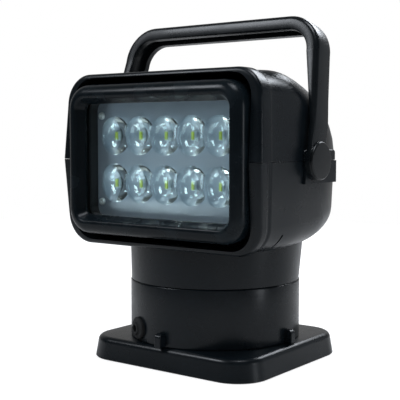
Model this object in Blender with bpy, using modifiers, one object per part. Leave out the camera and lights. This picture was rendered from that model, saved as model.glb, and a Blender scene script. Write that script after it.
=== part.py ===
# Remote-controlled marine searchlight: a ten-LED lamp that tilts inside a two-part
# head, which pans on a round column over a square magnetic base, under a fold-back handle.
# Metres, +Z up. The lamp faces -Y. The origin is on the pan axis, at the base's underside.

import math

import bmesh
import bpy
from mathutils import Matrix, Vector

MM = 0.001
SEAT = 0.3 * MM  # gap between a piece and what it rests on

# Base
BASE_SIDE_LEDGE = 11 * MM  # how far the base reaches past the column at its sides
BASE_END_LEDGE = 4 * MM  # and at its front and rear
BASE_HEIGHT = 16.5 * MM
BASE_CORNER = 25 * MM
BASE_DRAFT = 2 * MM
BASE_EDGE = 4.5 * MM
BASE_WALL = 4 * MM
COVER_THICKNESS = 3 * MM
MAGNET_RADIUS = 13 * MM
MAGNET_THICKNESS = 11 * MM
MAGNET_INSET = 22 * MM

# Column
COLUMN_HEIGHT = 43.5 * MM
COLUMN_WALL = 3.5 * MM
COLUMN_CHAMFER = 0.8 * MM
DECK_THICKNESS = 4 * MM
DECK_DROP = 6 * MM
FLANGE_WIDTH = 12 * MM
RIB_HEIGHT = 10 * MM
RIB_WIDTH = 5.5 * MM
RIB_REACH = 6 * MM
RIB_ROUND = 3 * MM
GLAND_RADIUS = 8.4 * MM
GLAND_HEIGHT = 9.4 * MM
GLAND_ANGLE = math.radians(-24)
GLAND_LIP = 1.6 * MM
LEAD_RADIUS = 2.6 * MM

# Screws
SCREW_RADIUS = 1.8 * MM
SCREW_HEAD_RADIUS = 3.5 * MM
SCREW_HEAD_HEIGHT = 2.4 * MM
SCREW_CLEARANCE = 0.3 * MM

# Pan drive
PAN_SEAM = 0.5 * MM
GEAR_MODULE = 2 * MM
PINION_TEETH = 10
RING_WALL = 8.7 * MM
TOOTH_SHARE = 0.42
SPINDLE_RADIUS = 10 * MM
SPINDLE_BORE = 6 * MM
SPINDLE_FLANGE_RADIUS = 18 * MM
SPINDLE_FLANGE = 3 * MM
NUT_HEIGHT = 5 * MM
NUT_RADIUS = 17 * MM
WASHER_RADIUS = 26 * MM
MOTOR_RADIUS = 12.5 * MM
MOTOR_LENGTH = 38 * MM
MOTOR_SHAFT = 2 * MM
SHAFT_GRIP = 8 * MM
SHAFT_PASSAGE = 0.6 * MM  # room round each motor's shaft in the wall that it passes

# Head
NECK_HEIGHT = 28 * MM
NECK_LEAN = 3.5 * MM
NECK_LAP = 8 * MM  # how far the neck runs up into the lower shell
NECK_STEP = 0.5 * MM
SIDE_RIM = 9.7 * MM  # the rim's width beside the lamp's bay
TOP_ROOM = 8.3 * MM  # from the lamp's top to the head's
SIDE_OVERHANG = 25 * MM  # how far the head reaches past the column at its sides
RIM_OVERHANG = 5 * MM  # and in front
DOME_TUCK = 1 * MM  # how far the round rear stays inside the head's half width
HEAD_CORNER = 20 * MM
LOW_CORNER_RUN = 26 * MM
LOW_CORNER_RISE = 9 * MM
DOME_SETBACK = 28 * MM  # from the front rim to where the dome begins
DOME_CROWN = 19 * MM  # the last of the dome, where its corners have met
DOME_STEPS = 9
UPPER_DOME_POWER = 7
LOWER_DOME_POWER = 20
SIDE_DRAFT = 3 * MM
CHEVRON = 4 * MM
SHELL_WALL = 3.2 * MM
RIM_EDGE = 3 * MM
RIM_STEP = 1.2 * MM
RIM_BLEND = 10 * MM
UPPER_RIM_WIDTH = 12 * MM
LOWER_RIM_WIDTH = 7 * MM
LOWER_GROOVE = 1.2 * MM
GROOVE_LENGTH = 4 * MM
PIVOT_BAND = 22 * MM
DRAIN_LENGTH = 9 * MM
DRAIN_WIDTH = 1.2 * MM
DRAIN_DEPTH = 6 * MM
DRAIN_SETBACK = 24.5 * MM
DRAIN_HEIGHT = 9 * MM
DRAIN_SLOPE = math.radians(40)
POST_RADIUS = 5.5 * MM
POST_DEPTH = 18 * MM
SHELL_SCREW_REACH = 11 * MM
SIDE_SCREW_INSET = 18 * MM
SIDE_SCREW_Y = 14 * MM
REAR_SCREW_MARGIN = 4.5 * MM  # between a rear screw's head and the neck
REAR_SCREW_ANGLE = math.radians(50)
BOARD_SETBACK = 27 * MM  # from the dome's rearmost point
BOARD_POST_RADIUS = 3.5 * MM
BOARD_POST_X = 18 * MM
BOARD_POST_HEIGHT = 12 * MM
BOARD_WIDTH = 76 * MM
BOARD_HEIGHT = 52 * MM
RELAYS = 3
RELAY_PITCH = 22 * MM
RELAY_WIDTH = 16 * MM
RELAY_HEIGHT = 20 * MM
RELAY_DEPTH = 12 * MM
SOCKET_WIDTH = 40 * MM
SOCKET_HEIGHT = 9 * MM
SOCKET_DEPTH = 6 * MM
BOARD_MARGIN = 6 * MM

# Handle
HANDLE_PIVOT_Y = -8 * MM
HANDLE_LEAN = math.radians(11.8)
HANDLE_HEIGHT = 104.6 * MM
HANDLE_INSET = 11 * MM  # how far a leg's inner face leans in, above its straight foot
HANDLE_CORNER = 22 * MM
HANDLE_EDGE = 2.6 * MM
BAR_THICKNESS = 10.3 * MM
HANDLE_DEPTH = 21.5 * MM
LEG_THICKNESS = 9.2 * MM
LEG_FOOT_THICKNESS = 4 * MM
LEG_FOOT_HEIGHT = 25 * MM  # the leg's straight foot, which clears the pad as it folds
LEG_FOOT_LEAD = 2.4 * MM  # how far the foot's middle lies in front of the pivot
LEG_RECESS = 0.2 * MM  # from the hub's inner face to the leg's
HUB_RADIUS = 13.5 * MM
HUB_LENGTH = 4.6 * MM
HUB_RECESS = 2.4 * MM
CAP_THICKNESS = 1.5 * MM
CAP_EDGE = 0.8 * MM
PAD_LENGTH = 44 * MM
PAD_LEAD = 11.5 * MM  # how far the pad reaches in front of the pivot
PAD_BELOW = 16 * MM
PAD_ABOVE = 8 * MM
PAD_PROUD = 1.4 * MM
PAD_CORNER = 4 * MM
BOLT_RADIUS = 4 * MM
BOLT_HEAD_RADIUS = 7 * MM

# Lamp
LAMP_HALF_WIDTH = 79 * MM
LAMP_HALF_HEIGHT = 55 * MM
LAMP_CORNER = 18 * MM
LAMP_REACH = 12 * MM
BAY_GAP = 1.3 * MM
TILT_SETBACK = 10 * MM
BEZEL_DEPTH = 16 * MM
BEZEL_ROUND = 8 * MM
BROW = 3 * MM
BROW_DROP = 2.4 * MM
BROW_EDGE = 1.6 * MM
FRAME_WIDTH = 13 * MM  # the bezel's frame beside the window
FRAME_HEIGHT = 14 * MM  # and above and below it
WINDOW_CORNER = 5 * MM
WINDOW_SLOPE = 7.5 * MM
WINDOW_LIP = 2 * MM
BOARD_SCREW_INSET_X = 1.5 * MM
BOARD_SCREW_INSET_Z = 8.5 * MM
GLASS_THICKNESS = 3 * MM
GLASS_LAP = 4 * MM
GASKET_THICKNESS = 1.7 * MM
GASKET_WIDTH = 3 * MM
HOUSING_INSET = 1.5 * MM
TRAY_DEPTH = 10.5 * MM
TRAY_FLOOR = 5 * MM
BOARD_THICKNESS = 1.6 * MM
FIN_SHORTFALL = 5 * MM  # how much less the fins reach than the lamp's face is high
FIN_PITCH = 13 * MM
FIN_GAP = 9 * MM
OPTIC_COLUMNS = 5
OPTIC_ROWS = 2
OPTIC_SHARE_X = 0.181  # the optics' pitch over the window's width
OPTIC_SHARE_Z = 0.43  # and over its height
OPTIC_FILL = 0.403  # an optic's radius over the pitch of the rows
OPTIC_DEPTH = 10 * MM
OPTIC_BULGE = 3.2 * MM
OPTIC_FOOT = 5 * MM
OPTIC_WELL = 2 * MM
EMITTER_SIZE = 5 * MM
EMITTER_HEIGHT = 1.2 * MM
PIVOT_RADIUS = 4 * MM
PIVOT_LENGTH = 5 * MM
PIVOT_GRIP = 5 * MM
BUSH_WALL = 2 * MM
SECTOR_SPAN = math.radians(148)
SECTOR_WIDTH = 6 * MM
SECTOR_WEB = 4 * MM
SECTOR_LEG = 30 * MM
SECTOR_LEG_WIDTH = 8 * MM
BRACKET_THICKNESS = 3 * MM
BRACKET_FOOT = 20 * MM
BRACKET_MARGIN = 1.5 * MM

# Outer sizes that follow from the lamp
HEAD_HALF_WIDTH = LAMP_HALF_WIDTH + BAY_GAP + SIDE_RIM
HEAD_HALF_HEIGHT = LAMP_HALF_HEIGHT + TOP_ROOM
COLUMN_RADIUS = HEAD_HALF_WIDTH - SIDE_OVERHANG
BASE_WIDTH = 2 * (COLUMN_RADIUS + BASE_SIDE_LEDGE)
BASE_DEPTH = 2 * (COLUMN_RADIUS + BASE_END_LEDGE)
HEAD_FRONT = COLUMN_RADIUS + RIM_OVERHANG
HEAD_REAR = HEAD_HALF_WIDTH - DOME_TUCK
DOME_START = DOME_SETBACK - HEAD_FRONT
DOME_LENGTH = HEAD_REAR - DOME_CROWN - DOME_START
BOARD_Y = HEAD_REAR - BOARD_SETBACK
WINDOW_HALF_WIDTH = LAMP_HALF_WIDTH - FRAME_WIDTH
WINDOW_HALF_HEIGHT = LAMP_HALF_HEIGHT - FRAME_HEIGHT
OPTIC_PITCH_X = 2 * WINDOW_HALF_WIDTH * OPTIC_SHARE_X
OPTIC_PITCH_Z = 2 * WINDOW_HALF_HEIGHT * OPTIC_SHARE_Z
OPTIC_RADIUS = OPTIC_PITCH_Z * OPTIC_FILL
FIN_RADIUS = LAMP_HALF_HEIGHT - FIN_SHORTFALL

# Heights, from the floor up
BASE_CEILING = BASE_HEIGHT - BASE_WALL
COLUMN_FOOT = BASE_HEIGHT + SEAT
COLUMN_TOP = BASE_HEIGHT + COLUMN_HEIGHT
DECK_TOP = COLUMN_TOP - DECK_DROP
DECK_BOTTOM = DECK_TOP - DECK_THICKNESS
FLANGE_TOP = COLUMN_FOOT + DECK_THICKNESS
GEAR_TOP = COLUMN_TOP - PAN_SEAM
NECK_BOTTOM = COLUMN_TOP + PAN_SEAM
TURNTABLE_TOP = NECK_BOTTOM + DECK_THICKNESS
HEAD_BOTTOM = COLUMN_TOP + NECK_HEIGHT
AXIS_Z = HEAD_BOTTOM + HEAD_HALF_HEIGHT

# Depths, from the lamp's face back
BEZEL_FRONT = -HEAD_FRONT - LAMP_REACH
BEZEL_REAR = BEZEL_FRONT + BEZEL_DEPTH
WINDOW_REAR = BEZEL_FRONT + WINDOW_SLOPE + WINDOW_LIP
GLASS_FRONT = WINDOW_REAR + SEAT
GASKET_FRONT = GLASS_FRONT + GLASS_THICKNESS + SEAT
TRAY_FRONT = max(GASKET_FRONT + GASKET_THICKNESS, BEZEL_REAR) + SEAT
TRAY_BOTTOM = TRAY_FRONT + TRAY_DEPTH
TRAY_BACK = TRAY_BOTTOM + TRAY_FLOOR
BOARD_FRONT = TRAY_BOTTOM - SEAT - BOARD_THICKNESS
TILT_Y = -HEAD_FRONT + TILT_SETBACK

# Radii and widths that follow from their neighbours
COLUMN_INNER = COLUMN_RADIUS - COLUMN_WALL
NECK_RADIUS = COLUMN_RADIUS - NECK_STEP
NECK_BORE = NECK_RADIUS - COLUMN_WALL - NECK_STEP
BAY_HALF_WIDTH = LAMP_HALF_WIDTH + BAY_GAP
SIDE_INNER = HEAD_HALF_WIDTH - SIDE_DRAFT / 2 - SHELL_WALL
PAD_FACE = HEAD_HALF_WIDTH + PAD_PROUD
PAD_ROOT = BAY_HALF_WIDTH + MM
HUB_INNER = PAD_FACE + SEAT
HUB_OUTER = HUB_INNER + HUB_LENGTH
HOUSING_HALF_WIDTH = LAMP_HALF_WIDTH - HOUSING_INSET
HOUSING_HALF_HEIGHT = LAMP_HALF_HEIGHT - HOUSING_INSET
GLASS_HALF_WIDTH = WINDOW_HALF_WIDTH + GLASS_LAP
GLASS_HALF_HEIGHT = WINDOW_HALF_HEIGHT + GLASS_LAP
GLASS_CORNER = WINDOW_CORNER + GLASS_LAP
ADDENDUM = 0.8 * GEAR_MODULE
DEDENDUM = 1.25 * GEAR_MODULE
RING_OUTER = COLUMN_INNER - SEAT
RING_TEETH = round(2 * (RING_OUTER - RING_WALL - DEDENDUM) / GEAR_MODULE)
SECTOR_TEETH = round(2 * LAMP_HALF_HEIGHT / GEAR_MODULE)
PINION_RADIUS = GEAR_MODULE * PINION_TEETH / 2
RING_RADIUS = GEAR_MODULE * RING_TEETH / 2
SECTOR_RADIUS = GEAR_MODULE * SECTOR_TEETH / 2
PAN_PINION_Y = RING_RADIUS - PINION_RADIUS
TILT_PINION_Y = TILT_Y + SECTOR_RADIUS + PINION_RADIUS

for old in list(bpy.data.objects):
    bpy.data.objects.remove(old)

PARTS = bpy.data.collections.new("searchlight")
CUTTERS = bpy.data.collections.new("cutters")
bpy.context.scene.collection.children.link(PARTS)
bpy.context.scene.collection.children.link(CUTTERS)


def principled(name, colour, roughness, metallic=0.0, alpha=1.0):
    material = bpy.data.materials.new(name)
    material.use_nodes = True
    shader = material.node_tree.nodes["Principled BSDF"]
    shader.inputs["Base Color"].default_value = (*colour, 1)
    shader.inputs["Roughness"].default_value = roughness
    shader.inputs["Metallic"].default_value = metallic
    shader.inputs["Alpha"].default_value = alpha
    return material


BLACK_ABS = principled("black_abs", (0.016, 0.020, 0.024), 0.32)
CAST_ALUMINIUM = principled("cast_aluminium", (0.05, 0.055, 0.06), 0.5, 0.6)
BOARD_GREY = principled("board_grey", (0.16, 0.20, 0.24), 0.35, 0.5)
CLEAR = principled("clear_polycarbonate", (0.85, 0.9, 0.92), 0.03, alpha=0.35)
STEEL = principled("steel", (0.55, 0.56, 0.58), 0.3, 1.0)
RUBBER = principled("rubber", (0.012, 0.012, 0.012), 0.7)
NYLON = principled("nylon", (0.7, 0.69, 0.64), 0.5)
PCB_GREEN = principled("circuit_board", (0.01, 0.09, 0.04), 0.45)


def piece(name, mesh, material):
    """Adds one named piece to the searchlight, shaded smooth with its real edges kept sharp."""
    mesh.materials.append(material)
    mesh.shade_smooth()
    mesh.set_sharp_from_angle(angle=math.radians(35))
    obj = bpy.data.objects.new(name, mesh)
    PARTS.objects.link(obj)
    return obj


def closed_piece(name, bm, material):
    """Finishes a bmesh as a piece, with its faces turned outwards."""
    bmesh.ops.recalc_face_normals(bm, faces=bm.faces)
    mesh = bpy.data.meshes.new(name)
    bm.to_mesh(mesh)
    bm.free()
    return piece(name, mesh, material)


def round_edges(obj, width, segments=2):
    """Rounds the edges that turn by more than 50 degrees."""
    bevel = obj.modifiers.new("rounding", "BEVEL")
    bevel.width = width
    bevel.segments = segments
    bevel.limit_method = "ANGLE"
    bevel.angle_limit = math.radians(50)
    return obj


def combine(target, other, operation):
    """Cuts, joins or trims a piece by another, which becomes its hidden operand."""
    if other.name in PARTS.objects:
        PARTS.objects.unlink(other)
        CUTTERS.objects.link(other)
        other.hide_render = True
        other.display_type = "WIRE"
    modifier = target.modifiers.new(other.name, "BOOLEAN")
    modifier.operation = operation
    modifier.object = other
    modifier.solver = "EXACT"


def cut(target, other):
    combine(target, other, "DIFFERENCE")


def join(target, other):
    combine(target, other, "UNION")


def keep_inside(target, other):
    combine(target, other, "INTERSECT")


def box(name, low, high, material=BLACK_ABS):
    """A box between two opposite corners."""
    low, high = Vector(low), Vector(high)
    bm = bmesh.new()
    place = Matrix.Translation((low + high) / 2) @ Matrix.Diagonal((*(high - low), 1))
    bmesh.ops.create_cube(bm, size=1, matrix=place)
    return closed_piece(name, bm, material)


# Turns the Z axis onto each axis
ALONG = {
    "X": Matrix.Rotation(math.radians(90), 4, "Y"),
    "Y": Matrix.Rotation(math.radians(-90), 4, "X"),
    "Z": Matrix.Identity(4),
}


def cylinder(name, radius, start, end, axis="Z", at=(0, 0), material=BLACK_ABS, sides=24):
    """A cylinder from start to end along an axis; at gives its two other coordinates in order."""
    middle = (start + end) / 2
    centre = {"X": (middle, *at), "Y": (at[0], middle, at[1]), "Z": (*at, middle)}[axis]
    bm = bmesh.new()
    bmesh.ops.create_cone(
        bm, cap_ends=True, segments=sides, radius1=radius, radius2=radius, depth=abs(end - start),
        matrix=Matrix.Translation(centre) @ ALONG[axis],
    )
    return closed_piece(name, bm, material)


def turned(name, profile, material=BLACK_ABS, sides=40, place=Matrix.Identity(4)):
    """A (radius, height) profile, listed up its outer side, turned about Z and placed."""
    points = [(radius, 0, height) for radius, height in reversed(profile)]
    around = [(i, (i + 1) % len(points)) for i in range(len(points))]
    # the stretch of a profile that lies on the axis makes no surface
    edges = [(a, b) for a, b in around if points[a][0] or points[b][0]]
    mesh = bpy.data.meshes.new(name)
    mesh.from_pydata(points, edges, [])
    obj = piece(name, mesh, material)
    screw = obj.modifiers.new("turning", "SCREW")
    screw.steps = sides
    screw.render_steps = sides
    screw.use_merge_vertices = True
    screw.merge_threshold = 1e-6
    obj.matrix_basis = place
    return obj


def flat(name, outline, start, end, axis="Z", material=BLACK_ABS, place=Matrix.Identity(4)):
    """A flat outline as a filled 2D curve, thick from start to end along an axis. The outline
    holds (y, z) pairs for a thickness along X, (x, z) for Y and (x, y) for Z."""
    curve = bpy.data.curves.new(name, "CURVE")
    curve.dimensions = "2D"
    curve.fill_mode = "BOTH"
    curve.extrude = abs(end - start) / 2
    spline = curve.splines.new("POLY")
    spline.points.add(len(outline) - 1)
    for point, (a, b) in zip(spline.points, outline):
        point.co = (a, b, 0, 1)
    spline.use_cyclic_u = True
    sheet = bpy.data.objects.new(name, curve)
    mesh = bpy.data.meshes.new_from_object(sheet)
    bpy.data.objects.remove(sheet)
    bm = bmesh.new()
    bm.from_mesh(mesh)
    bmesh.ops.remove_doubles(bm, verts=bm.verts, dist=1e-6)
    turn = {
        "X": Matrix(((0, 0, 1, 0), (1, 0, 0, 0), (0, 1, 0, 0), (0, 0, 0, 1))),
        "Y": Matrix(((1, 0, 0, 0), (0, 0, 1, 0), (0, 1, 0, 0), (0, 0, 0, 1))),
        "Z": Matrix.Identity(4),
    }[axis]
    shift = Matrix.Translation((0, 0, (start + end) / 2))
    bmesh.ops.transform(bm, matrix=place @ turn @ shift, verts=bm.verts)
    return closed_piece(name, bm, material)


def loft(name, loops, material=BLACK_ABS, closed=False, open_end=False):
    """A skin over loops of equal length, closed on itself or capped at its ends."""
    bm = bmesh.new()
    rows = [[bm.verts.new(point) for point in loop] for loop in loops]
    following = rows[1:] + rows[:1] if closed else rows[1:]
    for lower, upper in zip(rows, following):
        for a, b, c, d in zip(lower, lower[1:] + lower[:1], upper[1:] + upper[:1], upper):
            bm.faces.new((a, b, c, d))
    if not closed:
        bm.faces.new(rows[0])
        if not open_end:
            bm.faces.new(rows[-1])
    return closed_piece(name, bm, material)


def arc(centre, radius, start, end, steps):
    """Points of a circular arc, both ends included, angles in degrees."""
    angles = [math.radians(start + (end - start) * i / steps) for i in range(steps + 1)]
    return [(centre[0] + radius * math.cos(a), centre[1] + radius * math.sin(a)) for a in angles]


def rounded_rectangle(half_width, half_height, radius, steps=4):
    """The outline of a rectangle with round corners, counter-clockwise from the right side."""
    points = []
    for quarter, (sx, sy) in enumerate(((1, 1), (-1, 1), (-1, -1), (1, -1))):
        centre = (sx * (half_width - radius), sy * (half_height - radius))
        points += arc(centre, radius, quarter * 90, quarter * 90 + 90, steps)
    return points


def smooth(share):
    share = min(max(share, 0.0), 1.0)
    return share * share * (3 - 2 * share)


def carried(name, place, pieces, parent=None):
    """An empty on a joint's axis that carries the pieces of one moving body."""
    empty = bpy.data.objects.new(name, None)
    PARTS.objects.link(empty)
    if parent:
        empty.parent = parent
        empty.matrix_parent_inverse = parent.matrix_basis.inverted()
    empty.location = place
    for obj in pieces:
        obj.parent = empty
        obj.matrix_parent_inverse = Matrix.Translation(place).inverted()
    return empty


# Base: a drafted moulding with a round top edge, open below; its cover and four magnets

MAGNETS = [
    (sx * (BASE_WIDTH / 2 - MAGNET_INSET), sy * (BASE_DEPTH / 2 - MAGNET_INSET))
    for sx in (1, -1)
    for sy in (1, -1)
]
COLUMN_SCREW_CIRCLE = COLUMN_INNER - FLANGE_WIDTH / 2
COLUMN_SCREWS = [
    (COLUMN_SCREW_CIRCLE * math.cos(turn), COLUMN_SCREW_CIRCLE * math.sin(turn))
    for turn in (math.radians(90 * i) for i in range(4))
]


def base_outline(inset):
    return rounded_rectangle(BASE_WIDTH / 2 - inset, BASE_DEPTH / 2 - inset, BASE_CORNER - inset, 4)


def make_base_plate():
    levels = [(0.0, 0.0)]
    for run, rise in arc((BASE_EDGE, 0), BASE_EDGE, 180, 90, 3):
        levels.append((BASE_DRAFT + run, BASE_HEIGHT - BASE_EDGE + rise))
    base = loft("base_plate", [[(x, y, z) for x, y in base_outline(inset)] for inset, z in levels])
    cut(base, flat("base_hollow", base_outline(BASE_DRAFT + BASE_WALL), -BASE_WALL, BASE_CEILING))
    for i, at in enumerate(MAGNETS):
        low, high = MAGNET_THICKNESS + SEAT, BASE_CEILING + BASE_WALL / 2
        join(base, cylinder(f"magnet_boss_{i}", 0.6 * MAGNET_RADIUS, low, high, at=at, sides=10))
    for i, at in enumerate(COLUMN_SCREWS):
        hole = SCREW_RADIUS + SCREW_CLEARANCE
        cut(base, cylinder(f"base_screw_hole_{i}", hole, 0, BASE_HEIGHT + MM, at=at, sides=8))
    cut(base, cylinder("base_lead_hole", SPINDLE_RADIUS, 0, BASE_HEIGHT + MM))
    return base


def make_bottom_cover():
    cover = flat("bottom_cover", base_outline(BASE_DRAFT + BASE_WALL + SEAT), 0, COVER_THICKNESS)
    for i, at in enumerate(MAGNETS):
        window = MAGNET_RADIUS + SEAT
        cut(cover, cylinder(f"magnet_window_{i}", window, -MM, COVER_THICKNESS + MM, at=at, sides=12))
    return cover


def make_magnets():
    return [
        cylinder(f"magnet_{i + 1}", MAGNET_RADIUS, 0, MAGNET_THICKNESS, at=at, material=STEEL, sides=12)
        for i, at in enumerate(MAGNETS)
    ]


# Column: a turned pedestal with a deck for the pan drive, four foot ribs and the cable gland


def make_column():
    inner = COLUMN_INNER
    hub = SPINDLE_RADIUS + SEAT
    profile = [
        (COLUMN_RADIUS, COLUMN_FOOT), (COLUMN_RADIUS, COLUMN_TOP - COLUMN_CHAMFER),
        (COLUMN_RADIUS - COLUMN_CHAMFER, COLUMN_TOP), (inner, COLUMN_TOP), (inner, DECK_TOP),
        (hub, DECK_TOP), (hub, DECK_BOTTOM), (inner, DECK_BOTTOM), (inner, FLANGE_TOP),
        (inner - FLANGE_WIDTH, FLANGE_TOP), (inner - FLANGE_WIDTH, COLUMN_FOOT),
    ]
    # half a facet's turn, so that ribs and screws meet the middle of a facet
    sides = 40
    column = turned("column", profile, sides=sides, place=Matrix.Rotation(math.pi / sides, 4, "Z"))
    root = COLUMN_RADIUS - COLUMN_WALL / 2
    toe = COLUMN_RADIUS + RIB_REACH
    rib_top = COLUMN_FOOT + RIB_HEIGHT
    crest = arc((toe - RIB_ROUND, rib_top - RIB_ROUND), RIB_ROUND, 0, 90, 2)
    side = [(root, COLUMN_FOOT), (toe, COLUMN_FOOT), *crest, (root, rib_top)]
    for i in range(4):
        turn = Matrix.Rotation(math.radians(90 * i), 4, "Z")
        join(column, flat(f"rib_{i}", side, -RIB_WIDTH / 2, RIB_WIDTH / 2, axis="Y", place=turn))
    for i, at in enumerate(COLUMN_SCREWS):
        pilot = SCREW_RADIUS + 0.1 * MM
        cut(column, cylinder(f"flange_hole_{i}", pilot, 0, FLANGE_TOP + MM, at=at, sides=8))
    cut(column, turned("gland_seat", gland_seat_profile(), sides=20, place=gland_place()))
    return column


def gland_place():
    """Turns Z outwards through the column's wall, GLAND_ANGLE round from the front."""
    turn = Matrix.Rotation(GLAND_ANGLE - math.pi / 2, 4, "Z")
    return Matrix.Translation((0, 0, COLUMN_FOOT + GLAND_HEIGHT)) @ turn @ ALONG["X"]


GLAND_STEM = LEAD_RADIUS + GLAND_LIP
GLAND_SEAT = COLUMN_RADIUS - COLUMN_WALL / 4


def gland_seat_profile():
    """A bore for the gland's stem under a flat seat spot-faced into the round wall."""
    bore, spot = GLAND_STEM + SEAT, GLAND_RADIUS + SEAT
    # the bore starts behind the round wall's deepest point across its own width
    inside, outside = COLUMN_INNER - 3 * MM, COLUMN_RADIUS + 3 * MM
    return [
        (0, inside), (bore, inside), (bore, GLAND_SEAT), (spot, GLAND_SEAT), (spot, outside), (0, outside),
    ]


def make_cable_gland():
    face = GLAND_SEAT + SEAT
    stem_end = face - COLUMN_WALL - GLAND_LIP
    shoulder, nose = face + 2 * GLAND_LIP, face + 3 * GLAND_LIP
    mouth = LEAD_RADIUS + GLAND_LIP
    profile = [
        (LEAD_RADIUS, stem_end), (GLAND_STEM, stem_end), (GLAND_STEM, face), (GLAND_RADIUS, face),
        (GLAND_RADIUS, shoulder - GLAND_LIP), (GLAND_RADIUS - GLAND_LIP, shoulder),
        (mouth + GLAND_LIP / 2, shoulder), (mouth, nose), (LEAD_RADIUS, nose),
    ]
    return turned("cable_gland", profile, RUBBER, sides=12, place=gland_place())


def make_column_screws():
    screws = []
    seat = BASE_CEILING - SEAT
    for i, at in enumerate(COLUMN_SCREWS):
        profile = [
            (0, seat - SCREW_HEAD_HEIGHT), (SCREW_HEAD_RADIUS, seat - SCREW_HEAD_HEIGHT),
            (SCREW_HEAD_RADIUS, seat), (SCREW_RADIUS, seat), (SCREW_RADIUS, FLANGE_TOP), (0, FLANGE_TOP),
        ]
        screws.append(turned(f"column_screw_{i + 1}", profile, STEEL, 8, Matrix.Translation((*at, 0))))
    return screws


# Pan drive: an internal ring gear on the deck, thrust washer, spindle, nut, gearmotor and pinion

PRESSURE_ANGLE = math.radians(20)


def gear_outline(teeth, outward, inward, share, turn=math.pi / 2, levels=1, count=None):
    """A spur gear's outline with involute flanks, reaching outward and inward from its pitch
    circle. share is a tooth's width over the pitch, turn is where its first tooth points, and
    levels is the number of spans along each flank."""
    pitch = GEAR_MODULE * teeth / 2
    base = pitch * math.cos(PRESSURE_ANGLE)
    step = math.tau / teeth
    wide = share * step / 2

    def unwound(radius):
        roll = math.sqrt(max((radius / base) ** 2 - 1, 0.0))
        return roll - math.atan(roll)

    radii = [pitch - inward + (outward + inward) * i / levels for i in range(levels + 1)]
    flank = [(r, wide + unwound(pitch) - unwound(r)) for r in radii]
    points = []
    for i in range(count or teeth):
        middle = turn + i * step
        rising = [(r, middle - half) for r, half in flank]
        falling = [(r, middle + half) for r, half in reversed(flank)]
        points += [(r * math.cos(a), r * math.sin(a)) for r, a in rising + falling]
    return points


def make_ring_gear():
    ring = cylinder("pan_ring_gear", RING_OUTER, DECK_TOP + SEAT, GEAR_TOP, material=NYLON, sides=40)
    # the spaces between the ring's teeth are themselves a gear, which cuts it; one of them
    # faces +Y, where the pinion's first tooth fills it
    spaces = gear_outline(RING_TEETH, DEDENDUM, ADDENDUM, 1 - TOOTH_SHARE)
    cut(ring, flat("ring_spaces", spaces, DECK_TOP - MM, GEAR_TOP + MM))
    return ring


def make_thrust_washer():
    inner = SPINDLE_RADIUS + 3 * MM
    profile = [
        (WASHER_RADIUS, DECK_TOP + SEAT), (WASHER_RADIUS, NECK_BOTTOM - SEAT),
        (inner, NECK_BOTTOM - SEAT), (inner, DECK_TOP + SEAT),
    ]
    return turned("thrust_washer", profile, NYLON, sides=16)


def make_pan_spindle():
    flange_bottom = TURNTABLE_TOP + SEAT
    flange_top = flange_bottom + SPINDLE_FLANGE
    bottom = DECK_BOTTOM - SEAT - NUT_HEIGHT - 2 * MM
    profile = [
        (SPINDLE_BORE, bottom), (SPINDLE_RADIUS, bottom), (SPINDLE_RADIUS, flange_bottom),
        (SPINDLE_FLANGE_RADIUS, flange_bottom), (SPINDLE_FLANGE_RADIUS, flange_top),
        (SPINDLE_BORE, flange_top),
    ]
    return turned("pan_spindle", profile, STEEL, sides=16)


def make_spindle_nut():
    top = DECK_BOTTOM - SEAT
    bottom = top - NUT_HEIGHT
    nut = cylinder("spindle_nut", NUT_RADIUS, bottom, top, material=STEEL, sides=6)
    cut(nut, cylinder("nut_bore", SPINDLE_RADIUS + SEAT, bottom - MM, top + MM))
    return nut


def geared_motor(name, place):
    """A small gearmotor that stands on z = 0, with a blind bore for its pinion's shaft."""
    gearbox = MOTOR_LENGTH * 0.4
    can = MOTOR_RADIUS * 0.92
    bore = MOTOR_SHAFT + SEAT
    bearing = 4 * MM
    profile = [
        (bore, 0), (MOTOR_RADIUS, 0), (MOTOR_RADIUS, gearbox), (can, gearbox + 0.6 * MM),
        (can, MOTOR_LENGTH - MM), (can - MM, MOTOR_LENGTH), (bearing, MOTOR_LENGTH),
        (bearing, MOTOR_LENGTH + 2 * MM), (0, MOTOR_LENGTH + 2 * MM),
        (0, SHAFT_GRIP + MM), (bore, SHAFT_GRIP + MM),
    ]
    return turned(name, profile, STEEL, sides=12, place=place)


def drive_pinion(name, bottom, top, motor_face, place, turn):
    """A pinion about Z with the shaft that its motor grips; turn is where a tooth points."""
    teeth = gear_outline(PINION_TEETH, ADDENDUM, DEDENDUM, TOOTH_SHARE, turn)
    gear = flat(name, teeth, bottom, top, material=NYLON, place=place)
    shaft = cylinder(f"{name}_shaft", MOTOR_SHAFT, bottom + MM, motor_face + SHAFT_GRIP, sides=12)
    shaft.matrix_basis = place
    join(gear, shaft)
    return gear


def make_pan_pinion():
    place = Matrix.Translation((0, PAN_PINION_Y, 0))
    return drive_pinion("pan_pinion", DECK_TOP + MM, GEAR_TOP, TURNTABLE_TOP, place, math.pi / 2)


# Head: two shells lofted from a round-edged rim back over a domed rear, parted at mid height

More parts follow.
